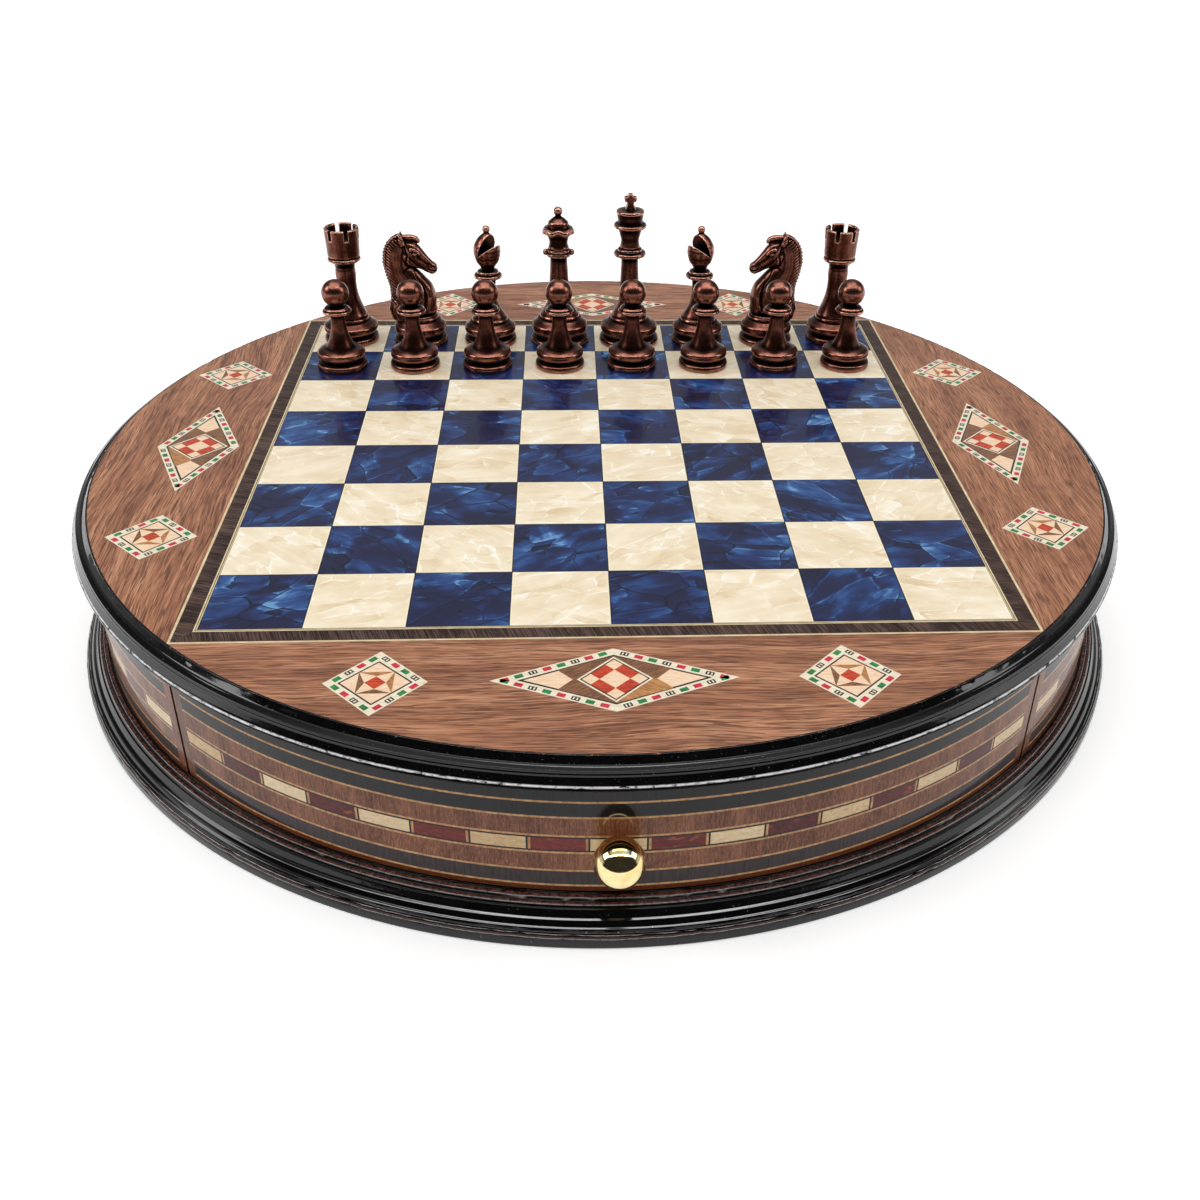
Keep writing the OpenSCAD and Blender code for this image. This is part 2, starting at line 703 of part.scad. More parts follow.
// Knight whose head looks to the side that side gives: +1 looks to +X
module knight(side) {
    z = 11.2;
    top = z + knight_head_h;
    turned(concat(
        foot(knight_foot_r, knight_foot_r - 0.4, 7.4), [[6, z + 1], [0, z + 1]]));
    color("#6e4a3c")
        scale([side, 1, 1])
            intersection() {
                rotate([90, 0, 0]) linear_extrude(14, center = true) knight_side(z, top);
                rotate([90, 0, 90]) linear_extrude(32, center = true) knight_front(z, top);
                linear_extrude(top + 1) knight_above();
            }
}

// Rook whose first battlement gap is turned by turn
module rook(turn) {
    z = rook_stem_h;
    difference() {
        turned(concat(
            foot(rook_foot_r, rook_foot_r, 7.3), [[4.3, z - 1], [4.3, z]],
            bead(4.5, 6.6, z + 1.4, z + 3.6, 4), [[6.4, z + 3.8], [7, z + 14]],
            [[5.7, z + 14], [5.4, z + 9], [0, z + 9]]));
        for (i = [0:5])
            rotate(60 * i + turn) translate([4, -0.7, z + 10.2]) cube([4, 1.4, 5]);
    }
}

module pawn() {
    z = pawn_stem_h;
    turned(concat(
        [[0, 0], [pawn_foot_r - 0.4, 0], [pawn_foot_r, 0.4], [pawn_foot_r, foot_h - 0.4]],
        [[pawn_foot_r - 0.4, foot_h], [pawn_foot_r - 1.3, foot_h + 0.6]],
        bead(pawn_foot_r - 1.5, pawn_foot_r - 0.5, foot_bead_z, foot_bead_z + 4.2),
        cove(5.9, 8.6, 2.8, z - 1, 8), [[2.8, z]],
        bead(2.8, 5.6, z + 1.6, z + 4, 4), [[2.8, z + 4.4], [2.9, z + 5.2]],
        [for (i = [1:8]) let (a = -50 + 140 * i / 8) [4.9 * cos(a), z + 9.7 + 4.9 * sin(a)]]));
}

// Puts a chessman on the board, at the file and rank counted in squares from the centre
module on_board(file, rank, inward = 0)
    translate([file * square_w, rank * square_w - inward, top_z]) children();

// ---- the assembly ---------------------------------------------------------------------------------

base_felt();
base_moulding();
base_board();
drawer_runners();
centre_divider();
bay_sides();
carcass_screws();
wall_left();
wall_right();
wall_black_bands();
wall_stringing();
wall_cream_tiles();
wall_red_tiles();
top_board();
top_moulding();
walnut_veneers();
border_strips();
board_stringing();
blue_squares();
cream_squares();
large_lozenges();
small_lozenges();

for (part = DRAWER_NODES) {
    drawer_piece(part);
    rotate([0, 0, 180]) drawer_piece(part);
}

on_board(0.5, 3.5, back_row_in) king();
on_board(-0.5, 3.5, back_row_in) queen();
on_board(-1.5, 3.5, back_row_in) bishop(1);  // bishop_left
on_board(1.5, 3.5, back_row_in) bishop(-1);  // bishop_right
on_board(-2.5, 3.5, back_row_in) knight(1);  // knight_left
on_board(2.5, 3.5, back_row_in) knight(-1);  // knight_right
on_board(-3.5, 3.5, 0) rook(14);  // rook_left
on_board(3.5, 3.5, 0) rook(-13);  // rook_right
for (i = [1:8])
    on_board(i - 4.5, 2.5) pawn();
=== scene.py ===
"""Looks of the round chess box: camera, light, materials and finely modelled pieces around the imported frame."""
import math
from functools import cached_property

import bpy
import numpy as np
from mathutils import Matrix, Vector, noise


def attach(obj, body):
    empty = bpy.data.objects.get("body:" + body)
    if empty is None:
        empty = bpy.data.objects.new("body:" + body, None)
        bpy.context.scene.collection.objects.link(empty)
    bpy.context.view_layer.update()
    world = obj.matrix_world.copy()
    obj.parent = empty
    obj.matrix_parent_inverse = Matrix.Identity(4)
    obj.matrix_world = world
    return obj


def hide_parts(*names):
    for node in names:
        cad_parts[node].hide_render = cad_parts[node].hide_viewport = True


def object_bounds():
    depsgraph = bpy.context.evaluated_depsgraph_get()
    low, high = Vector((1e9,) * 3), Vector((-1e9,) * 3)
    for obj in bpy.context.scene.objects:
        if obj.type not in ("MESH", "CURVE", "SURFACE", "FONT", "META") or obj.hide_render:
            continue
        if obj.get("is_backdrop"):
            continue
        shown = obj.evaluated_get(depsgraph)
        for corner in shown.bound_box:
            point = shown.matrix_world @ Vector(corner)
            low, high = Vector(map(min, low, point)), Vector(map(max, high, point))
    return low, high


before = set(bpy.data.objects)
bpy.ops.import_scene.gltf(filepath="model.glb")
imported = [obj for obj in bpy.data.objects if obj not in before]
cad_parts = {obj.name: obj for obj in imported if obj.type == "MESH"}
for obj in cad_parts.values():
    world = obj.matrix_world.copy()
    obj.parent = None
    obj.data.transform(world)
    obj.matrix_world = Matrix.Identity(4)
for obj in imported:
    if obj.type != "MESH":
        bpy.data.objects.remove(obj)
CAD_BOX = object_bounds()
MM = 0.001

# Main sizes, in millimetres, as in the part
SQ = 29
FIELD = 4 * SQ
BORDER = FIELD + 5.8
FRAME = BORDER + 0.9
DISC = FRAME * math.sqrt(2) - 0.3
WALL = DISC + 1.8
WALL_IN = WALL - 8
PLINTH = WALL + 9.1
DECK = 11.9
WALL_TOP = 47.9
VENEER_Z = 56.9
TOP = 57.5
INLAY = 0.6
FACE_GAP = 0.4
SEAM_X = WALL * math.sin(math.radians(45)) + 0.4
FACE_X = SEAM_X - 0.8
MARGIN = 2.7
LOZENGE_HALF = 14.3
LOZENGE_Y = FRAME + 5.1 + LOZENGE_HALF
SMALL_OFFSET = 2.19 * SQ
LINE, THIN = 0.65, 0.55
BAND_HEIGHTS = [4.5, LINE, 4.5, LINE, 5.7, LINE, THIN, 4, THIN, LINE, 5.7, LINE, 4.6, LINE]
BAND_Z = [WALL_TOP - sum(BAND_HEIGHTS[:i]) for i in range(len(BAND_HEIGHTS) + 1)]
WOOD_BANDS, BLACK_BANDS, PALE_BANDS, TILE_BAND = (4, 10), (0, 2, 6, 8, 12), (1, 3, 5, 9, 11, 13), 7
FACE_HALF = math.degrees(math.asin((FACE_X - MARGIN) / WALL))
WALL_HALF = 90 - math.degrees(math.asin((SEAM_X + MARGIN) / WALL))
TILES = 17
KNOB_Z = WALL_TOP - 19.2


def srgb(r, g, b):
    """Scene-linear colour of an 8-bit display colour."""
    return tuple(c / 12.92 if c <= 0.04045 else ((c + 0.055) / 1.055) ** 2.4 for c in (r / 255, g / 255, b / 255))


def having(thing, **values):
    """Sets a thing's properties and gives it back."""
    for key, value in values.items():
        setattr(thing, key, value)
    return thing


# ---- node graphs ----

class Wire:
    """A node's output, which takes part in sums. Those of a vector or colour go part by part."""

    def __init__(self, graph, socket):
        self.graph, self.socket = graph, socket

    def join(self, kind, other=None):
        make = self.graph.math if self.socket.type == "VALUE" else self.graph.vector
        return make(kind, self, other)

    def __add__(self, other):
        return self.join("ADD", other)

    def __sub__(self, other):
        return self.join("SUBTRACT", other)

    def __rsub__(self, other):
        return self.graph.math("SUBTRACT", other, self)

    def __mul__(self, other):
        if self.socket.type != "VALUE" and isinstance(other, (int, float)):
            return self.graph.node("VectorMath", {0: self, 3: other}, operation="SCALE")
        return self.join("MULTIPLY", other)

    def __abs__(self):
        return self.join("ABSOLUTE")

    @property
    def parts(self):
        return self.graph.node("SeparateXYZ", {0: self}, (0, 1, 2))

    def fit(self, lo, hi, to_lo=0.0, to_hi=1.0, kind="LINEAR"):
        """Maps lo to to_lo and hi to to_hi, and holds the ends."""
        return self.graph.node("MapRange", {0: self, 1: lo, 2: hi, 3: to_lo, 4: to_hi}, interpolation_type=kind)

    def ease(self, lo, hi, to_lo=0.0, to_hi=1.0):
        return self.fit(lo, hi, to_lo, to_hi, "SMOOTHSTEP")

    def band(self, lo, hi, soft):
        """1 between lo and hi, 0 outside, with soft edges."""
        return self.fit(lo - soft, lo + soft) * self.fit(hi - soft, hi + soft, 1, 0)


class Graph:
    """Short calls for the nodes of one material or world."""

    def __init__(self, name, owner=None):
        self.owner = owner or bpy.data.materials.new(name)
        self.owner.use_nodes = True
        self.tree = self.owner.node_tree
        self.tree.nodes.clear()

    def node(self, kind, inputs, out=0, **props):
        """A new node's output, or a list of outputs where out is a tuple of them."""
        node = having(self.tree.nodes.new("ShaderNode" + kind), **props)
        for key, value in inputs.items():
            socket = node.inputs[key]
            if isinstance(value, Wire):
                self.tree.links.new(value.socket, socket)
            elif value is not None:
                socket.default_value = (*value, 1) if socket.type == "RGBA" else value
        if isinstance(out, tuple):
            return [Wire(self, node.outputs[key]) for key in out]
        return Wire(self, node.outputs[out])

    @cached_property
    def mm(self):
        """Object coordinates in millimetres."""
        return self.node("TexCoord", {}, "Object") * 1000

    def math(self, kind, a, b=None):
        return self.node("Math", {0: a, 1: b}, operation=kind)

    def vector(self, kind, a, b=None, out=0):
        return self.node("VectorMath", {0: a, 1: b}, out, operation=kind)

    def most(self, a, b):
        return self.math("MAXIMUM", a, b)

    def least(self, a, b):
        return self.math("MINIMUM", a, b)

    def vec(self, x, y, z=0.0):
        return self.node("CombineXYZ", {0: x, 1: y, 2: z})

    def lerp(self, factor, a, b):
        return self.node("Mix", {0: factor, 2: a, 3: b}, data_type="FLOAT")

    def mix(self, factor, a, b):
        return self.node("Mix", {0: factor, 6: a, 7: b}, 2, data_type="RGBA")

    def ramp(self, value, *stops):
        """Colours along value. Each stop has its place and an 8-bit display colour."""
        wire = self.node("ValToRGB", {0: value})
        elements = wire.socket.node.color_ramp.elements
        while len(elements) < len(stops):
            elements.new(0.5)
        for element, (place, *colour) in zip(elements, stops):
            element.position = place
            element.color = (*srgb(*colour), 1)
        return wire

    def noise(self, vector, detail=2, rough=0.5, scale=1, out=0):
        return self.node("TexNoise", {"Vector": vector, "Scale": scale, "Detail": detail, "Roughness": rough}, out)

    def voronoi(self, vector, scale, out, feature="F1"):
        return self.node("TexVoronoi", {"Vector": vector, "Scale": scale}, out, feature=feature)

    def bump(self, height, strength, distance):
        return self.node("Bump", {"Height": height, "Strength": strength, "Distance": distance * MM})

    def finish(self, colour, rough, normal=None, metallic=0.0, coat=0.0, coat_rough=0.05, level=0.5, sheen=0.0):
        shader = self.node("BsdfPrincipled", {
            "Base Color": colour, "Roughness": rough, "Normal": normal, "Metallic": metallic, "Coat Weight": coat,
            "Coat Roughness": coat_rough, "Specular IOR Level": level, "Sheen Weight": sheen})
        self.node("OutputMaterial", {0: shader}, ())
        return self.owner


# ---- camera, light and floor ----

LIGHT_AIM = Vector((0, 0, 0.03))
FLOOR_HALF = 8.0


def show(name, data):
    """A new object in the scene."""
    obj = bpy.data.objects.new(name, data)
    bpy.context.scene.collection.objects.link(obj)
    return obj


def make_camera():
    yaw, down, roll = (math.radians(a) for a in (3.448, 32.896, 1.151))
    ahead = Vector((math.sin(yaw) * math.cos(down), math.cos(yaw) * math.cos(down), -math.sin(down)))
    right = Vector((math.cos(yaw), -math.sin(yaw), 0))
    up = right.cross(ahead)
    right_rolled = math.cos(roll) * right + math.sin(roll) * up
    up_rolled = -math.sin(roll) * right + math.cos(roll) * up
    camera = show("camera", having(bpy.data.cameras.new("camera"), sensor_width=36, lens=38.925, shift_x=-0.0292,
                                   shift_y=0.0006, clip_start=0.01))
    turn = Matrix((right_rolled, up_rolled, -ahead)).transposed().to_4x4()
    camera.matrix_world = Matrix.Translation((-11.89 * MM, -421.4 * MM, 263.3 * MM)) @ turn
    bpy.context.scene.camera = camera


def area_light(name, place, size_x, size_y, watts):
    data = bpy.data.lights.new(name, "AREA")
    light = show(name, having(data, shape="RECTANGLE", size=size_x, size_y=size_y, energy=watts))
    light.location = place
    light.rotation_euler = (LIGHT_AIM - Vector(place)).to_track_quat("-Z", "Y").to_euler()


def ray_is(g, *names):
    """1 for the named kinds of rays and 0 for others."""
    found, *others = g.node("LightPath", {}, names)
    for other in others:
        found = g.most(found, other)
    return found


def make_world():
    """White for the camera, an even glow for matt surfaces, and for glossy ones a pale tent, dark where it opens."""
    g = Graph("studio", bpy.data.worlds.new("studio"))
    x, y, z = g.node("TexCoord", {}, "Generated").parts
    front = y * -1
    over = front - z * 0.31
    opening = g.least(over, front - abs(x) * 0.18).ease(-0.02, 0.06)
    tent = y.ease(0.1, 0.5, 0.7, 0.42) * z.ease(0.05, 0.25, 0.9, 1)
    strip = over.band(-0.11, -0.03, 0.02) * (z.fit(0.5, 0.8) * 7)
    flank = abs(x).ease(0.3, 0.6, 0, 0.8) * (z.fit(0.14, 0.3) * z.fit(0.9, 0.75))
    room = g.lerp(opening, tent * (1 - flank) + strip, 0.03)
    strength = g.lerp(ray_is(g, "Is Glossy Ray"), 0.42, room)
    strength = g.lerp(ray_is(g, "Is Camera Ray", "Is Transmission Ray"), strength, 1.0)
    g.node("OutputWorld", {0: g.node("Background", {"Color": (1, 1, 1), "Strength": strength})}, ())
    bpy.context.scene.world = g.owner


def make_floor():
    """Pale floor that keeps the object's shadow and glows white to the eye further out."""
    g = Graph("floor")
    shade = g.mix(g.noise(g.mm, 3, scale=0.05), (0.86, 0.86, 0.86), (0.9, 0.9, 0.9))
    base = g.node("BsdfDiffuse", {"Color": shade})
    far = g.vector("LENGTH", g.mm, out="Value").ease(450, 1100, 0.36, 1.0)
    glow = g.node("Emission", {"Color": (1, 1, 1), "Strength": far})
    both = g.node("AddShader", {0: base, 1: glow})
    seen = ray_is(g, "Is Camera Ray", "Is Glossy Ray", "Is Transmission Ray")
    g.node("OutputMaterial", {0: g.node("MixShader", {0: seen, 1: base, 2: both})}, ())
    mesh = bpy.data.meshes.new("floor")
    h = FLOOR_HALF
    mesh.from_pydata([(-h, -h, 0), (h, -h, 0), (h, h, 0), (-h, h, 0)], [], [(0, 1, 2, 3)])
    mesh.materials.append(g.owner)
    floor = show("floor", mesh)
    floor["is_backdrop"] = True


bpy.context.scene.view_settings.view_transform = "Standard"
make_camera()
make_world()
make_floor()
area_light("top_light", (0.0, 0.25, 1.25), 1.3, 0.6, 4.6)
area_light("strip_light", (0.0, -0.5, 1.2), 1.8, 0.09, 4.4)
area_light("key_light", (-1.2, -0.1, 0.8), 0.5, 0.5, 4.2)
area_light("fill_light", (1.2, -0.1, 0.75), 0.5, 0.5, 2.8)


# ---- materials ----

BOARD_GLOSS = {"coat_rough": 0.1, "level": 0.2}
WALL_GLOSS = {"coat": 0.5, "coat_rough": 0.04, "level": 0.05}


def grain_frame(g):
    """Coordinates along and across the grain of the four veneers around the field, and each one's number."""
    x, y, _ = g.mm.parts
    side = g.math("GREATER_THAN", abs(x), abs(y))
    along, across = g.lerp(side, x, y), g.lerp(side, y, x)
    return along, across, g.math("SIGN", across) * 17.3 + side * 71.7


def walnut_veneer():
    g = Graph("walnut_veneer")
    along, across, number = grain_frame(g)
    bent = across + g.noise(g.vec(along * 0.011, across * 0.02, number)) * 16

    def grain(run, cross, detail, rough, seed=number):
        return g.noise(g.vec(along * run, bent * cross, seed), detail, rough)

    tone, streak, fine = grain(0.012, 0.16, 3, 0.6), grain(0.05, 1.7, 4, 0.7), grain(0.13, 3.2, 1, 0.7)
    pores = grain(0.1, 2.3, 1, 0.6, number + 5).fit(0.56, 0.59)
    dark = grain(0.016, 1.2, 3, 0.6, number + 9).fit(0.59, 0.64)
    colour = g.ramp(tone * 0.36 + streak * 0.34 + fine * 0.3, (0.37, 108, 67, 50), (0.43, 136, 88, 64),
                    (0.5, 165, 111, 81), (0.56, 186, 131, 98), (0.65, 206, 154, 120))
    colour = g.mix(g.most(pores * 0.7, dark * 0.55), colour, srgb(74, 43, 31))
    return g.finish(colour, streak.fit(0.3, 0.7, 0.42, 0.3), g.bump(pores, 0.25, -0.05), coat=0.25, **BOARD_GLOSS)


def wenge():
    g = Graph("wenge_border")
    along, across, number = grain_frame(g)
    slant = along + across * 0.35
    lines = g.noise(g.vec(slant * 2.2, across * 0.1, number), 2, 0.7)
    clouds = g.noise(g.vec(slant * 0.12, across * 0.1, number))
    colour = g.ramp(lines * 0.75 + clouds * 0.25, (0.38, 28, 17, 14), (0.49, 58, 40, 34), (0.6, 96, 74, 65))
    return g.finish(colour, 0.4, g.bump(lines, 0.2, 0.04), coat=0.12, coat_rough=0.1, level=0.15)


def ivory_line():
    """Pale line with a dark edge on the playing field's side and between its two halves."""
    g = Graph("ivory_line")
    x, y, _ = g.mm.parts
    out = g.most(abs(x), abs(y))
    grain = g.noise(g.vec(x * 0.3, y * 0.3), 3)
    inner = abs(out - (FIELD + 0.42)).fit(0.1, 0.16)
    outer = abs(out - (BORDER + 0.04)).fit(0.1, 0.18)
    pale = g.ramp(grain, (0.3, 206, 184, 144), (0.7, 232, 214, 176))
    colour = g.mix(g.least(inner, outer), srgb(92, 74, 40), pale)
    return g.finish(colour, 0.35, g.bump(grain, 0.1, 0.03), coat=0.25, **BOARD_GLOSS)


def square_frame(g):
    """A place and a turn in the pattern for each square of its own, and the distance from the square's edge."""
    x, y, _ = g.mm.parts
    flat = g.vec(x, y)
    cell = g.vector("FLOOR", flat * (1 / SQ))
    number, shift = g.node("TexWhiteNoise", {"Vector": cell}, ("Value", "Color"))
    cx, cy, _ = abs(flat - cell * SQ - (SQ / 2, SQ / 2, 0)).parts
    x, y, _ = (flat + shift * 400).parts
    angle = number.fit(0, 1, -0.8, 0.8)
    c, s = g.math("COSINE", angle), g.math("SINE", angle)
    return g.vec(x * c - y * s, x * s + y * c, number * 50), SQ / 2 - g.most(cx, cy)


def facets(g, place, size, seed, warp=0.35, squash=0.62):
    """Crumpled sheet: slope and height of each flat facet, and the distance to its nearest fold in millimetres."""
    middle = (0.5, 0.5, 0.5)
    flat = (place + (seed, seed * 0.7, 0)) * (squash, 1, 1)
    bend = g.noise(flat, 3, 0.55, 0.9 / size, out=1) - middle
    x, y, _ = (flat + bend * (size * warp)).parts
    bent = g.vec(x, y)
    tint, centre = g.voronoi(bent, 1 / size, ("Color", "Position"))
    slope = g.vector("DOT_PRODUCT", (bent - centre) * (1 / size), tint - middle, "Value")
    return slope, tint.parts[2], g.voronoi(bent, 1 / size, "Distance", "DISTANCE_TO_EDGE") * size


def blue_pearl():
    g = Graph("blue_pearl")
    place, rim = square_frame(g)
    slope, height, fold = facets(g, place, 12, 0)
    slope2, height2, fold2 = facets(g, place, 5.5, 90, 0.5, 0.45)
    cloud = g.noise(place * (0.6, 1, 1), scale=0.09)
    veil = g.noise(place * (0.3, 1, 1), 4, 0.65, 0.35)
    where = g.noise(place, scale=0.09).ease(0.49, 0.57)
    tone = cloud.ease(0.4, 0.62, 0.1, 0.42) + slope * 0.85 + (height - 0.5) * 0.2
    tone = tone + where * (slope2 * 0.9 + (height2 - 0.45) * 0.35)
    tone = g.most(tone, 0.04) * veil.fit(0.3, 0.7, 0.6, 1.35)
    lit = fold.ease(0.12, 0.75, 1, 0) * height.fit(0.45, 0.6)
    lit2 = fold2.ease(0.1, 0.5, 1, 0) * height2.fit(0.45, 0.6) * where
    tone = tone + g.most(lit, lit2) * veil.fit(0.42, 0.62, 0.04, 0.32)
    colour = g.ramp(tone, (0.0, 19, 23, 55), (0.22, 26, 36, 80), (0.42, 31, 60, 114), (0.66, 50, 92, 150),
                    (0.95, 104, 150, 198))
    dark = fold.fit(0.14, 0.34, 1, 0) * height.fit(0.56, 0.48)
    dark2 = fold2.fit(0.12, 0.3, 1, 0) * height2.fit(0.6, 0.48) * where
    shade = g.most(dark, dark2) * veil.fit(0.38, 0.5, 0.35, 1)
    colour = g.mix(shade * 0.9, colour, srgb(8, 9, 26))
    colour = g.mix(rim.fit(0.14, 0.24, 1, 0), colour, srgb(14, 20, 26))
    return g.finish(colour, 0.3, coat=0.3, level=0.2)


def cream_pearl():
    g = Graph("cream_pearl")
    place, rim = square_frame(g)
    slope, height, fold = facets(g, place, 11, 33)
    slope2, height2, fold2 = facets(g, place, 5, 160, 0.5, 0.5)
    cloud = g.noise(place * (0.6, 1, 1), scale=0.1)
    veil = g.noise(place * (0.35, 1, 1), 4, 0.65, 0.35)
    where = g.noise(place, scale=0.08).ease(0.47, 0.56)
    tone = cloud.fit(0.34, 0.66, 0.22, 0.5) + slope * 0.5
    tone = tone + where * (slope2 * 0.6 + (height2 - 0.5) * 0.3)
    tone = tone + veil.fit(0.3, 0.7, -0.12, 0.14)
    lit = fold.fit(0.1, 0.4, 1, 0) * height.fit(0.5, 0.6)
    lit2 = fold2.fit(0.08, 0.32, 1, 0) * height2.fit(0.4, 0.55) * where
    tone = tone + g.most(lit, lit2) * veil.fit(0.42, 0.6, 0.05, 0.6)
    colour = g.ramp(tone, (0.0, 226, 203, 164), (0.3, 240, 222, 190), (0.6, 250, 237, 211), (0.95, 255, 252, 242))
    colour = g.mix(rim.fit(0.42, 0.55, 1, 0), colour, srgb(250, 238, 208))
    colour = g.mix(rim.fit(0.12, 0.2, 1, 0), colour, srgb(40, 38, 32))
    return g.finish(colour, 0.3, coat=0.35, coat_rough=0.06, level=0.2)


def inlay_wood(name, dark, light, turn=0.0):
    """One veneer of the marquetry, with its grain turned by an angle in radians."""
    g = Graph(name)
    x, y, z = g.mm.parts
    c, s = math.cos(turn), math.sin(turn)
    grain = g.noise(g.vec((x * c + y * s) * 0.35, (x * -s + y * c) * 2.2, z), 3, 0.6)
    colour = g.ramp(grain, (0.35, *dark), (0.65, *light))
    return g.finish(colour, 0.36, g.bump(grain, 0.12, 0.03), coat=0.4, coat_rough=0.1, level=0.3)


def upright_grain(g, across, along, detail=3, rough=0.6):
    return g.noise(g.mm * (across, across, along), detail, rough)


def wall_walnut():
    g = Graph("wall_walnut")
    tone = upright_grain(g, 0.14, 0.03)
    streak = upright_grain(g, 1.9, 0.2, 3, 0.7)
    fine = upright_grain(g, 3.0, 0.7, 2, 0.7)
    colour = g.ramp(tone * 0.3 + streak * 0.35 + fine * 0.35, (0.38, 70, 36, 23), (0.46, 104, 62, 42),
                    (0.54, 134, 84, 59), (0.63, 160, 108, 80))
    low = g.mm.parts[2].fit(BAND_Z[14] - 0.05, BAND_Z[14] + 0.02, 1, 0)
    colour = g.mix(low, colour, g.mix(streak, srgb(58, 28, 14), srgb(120, 66, 38)))
    return g.finish(colour, 0.4, g.bump(streak, 0.12, 0.04), **WALL_GLOSS)


def black_veneer():
    """Ebonised veneer, more plum-coloured in the lowest band, with a few chipped cracks."""
    g = Graph("ebonised_veneer")
    grain = upright_grain(g, 1.2, 0.12, 4, 0.65)
    colour = g.ramp(grain * 0.6 + g.noise(g.mm, scale=0.04) * 0.4, (0.36, 20, 18, 19), (0.55, 29, 26, 28),
                    (0.7, 40, 36, 38))
    low = g.mm.parts[2].fit(BAND_Z[12] + 0.02, BAND_Z[12] + 0.1, 1, 0)
    colour = g.mix(low, colour, g.ramp(grain, (0.35, 38, 27, 29), (0.65, 60, 44, 47)))
    crack = g.voronoi(g.mm * (0.05, 0.05, 0.3), 1, "Distance", "DISTANCE_TO_EDGE")
    chip = crack.fit(0.0, 0.012, 1, 0) * g.noise(g.mm, scale=0.09).fit(0.58, 0.64)
    colour = g.mix(chip, colour, srgb(5, 4, 4))
    return g.finish(colour, 0.36, g.bump(grain * 0.3 + chip * -1, 0.15, 0.05), **WALL_GLOSS)


def pale_line():
    g = Graph("pale_line")
    grain = upright_grain(g, 0.8, 0.5)
    colour = g.ramp(grain, (0.35, 170, 118, 74), (0.65, 214, 168, 116))
    return g.finish(colour, 0.38, g.bump(grain, 0.1, 0.03), **WALL_GLOSS)


def wall_tiles(name, stops, blot_from, blot_colour):
    """Veneer of the banding's tiles, each with a shade and a place in the grain of its own."""
    g = Graph(name)
    x, y, _ = g.mm.parts
    # Each quarter turn is one panel, with the local angle from -45 to 45 degrees across it
    turn = g.math("ARCTAN2", y, x) * (180 / math.pi) + (360 + 45)
    local = g.math("FLOORED_MODULO", turn, 90) - 45
    panel_number = g.math("FLOORED_MODULO", g.math("FLOOR", g.math("DIVIDE", turn, 90)), 4)
    index = g.math("FLOOR", (local + FACE_HALF) * (TILES / (2 * FACE_HALF)))
    shade, shift = g.node("TexWhiteNoise", {"Vector": g.vec(index, panel_number)}, ("Value", "Color"))
    grain = g.noise(g.mm * (0.6, 0.6, 1.4) + shift * 60, 4, 0.65)
    blot = g.noise(g.mm * (0.16, 0.16, 0.5) + shift * 30, 3, 0.7)
    colour = g.mix(blot.fit(blot_from, blot_from + 0.08), g.ramp(grain * 0.7 + shade * 0.3, *stops), srgb(*blot_colour))
    return g.finish(colour, 0.38, g.bump(grain, 0.1, 0.03), **WALL_GLOSS)


def height_and_radius(g):
    """Height above the table and distance from the box's axis."""
    x, y, z = g.mm.parts
    return z, g.math("SQRT", x * x + y * y)


def black_lacquer():
    """Lacquer of the top moulding, rubbed to brown on its lip, with a pale line on its bead that is partly chipped wear
    and partly a painted highlight, and a painted shade under the bead.
    """
    g = Graph("black_lacquer")
    z, r = height_and_radius(g)
    swirl = g.noise(g.mm, 3, scale=0.25)
    chips = g.noise(g.mm * (0.5, 0.5, 1.2), 4, 0.75)
    # Pale line along the bead: partly chipped wear, partly a painted highlight.
    bead = z.band(TOP - 6.3, TOP - 5.95, 0.1) * r.fit(WALL + 3.2, WALL + 3.4)
    wear_and_painted_highlight = bead * (chips + swirl * 0.3).fit(0.5, 0.64)
    lip = r.band(DISC - 0.1, DISC + 0.55, 0.12) * z.fit(TOP - 0.6, TOP - 0.2)
    dust = g.noise(g.mm, 2, 0.6, 1.6).fit(0.69, 0.74)
    colour = g.mix(wear_and_painted_highlight, g.ramp(swirl, (0.3, 5, 4, 5), (0.7, 12, 11, 12)), srgb(226, 224, 226))
    colour = g.mix(lip * chips.fit(0.6, 0.68), colour, srgb(170, 112, 74))
    colour = g.mix(dust * 0.5, colour, srgb(120, 118, 116))
    # Painted shade on the underside of the bead: near-black and metallic, so it reflects nothing.
    under = z.fit(TOP - 6.55, TOP - 6.4, 1, 0) * r.fit(WALL + 0.3, WALL + 0.5)
    colour = g.mix(under, colour, srgb(3, 3, 3))
    height = wear_and_painted_highlight * -0.8 + (g.noise(g.mm, scale=0.12) * 0.6 + g.noise(g.mm, 2, 0.6, 0.55) * 0.25)
    rough = g.most(wear_and_painted_highlight, dust) * 0.35 + 0.07
    return g.finish(colour, rough, g.bump(height, 0.25, 0.14), under, level=0.42)


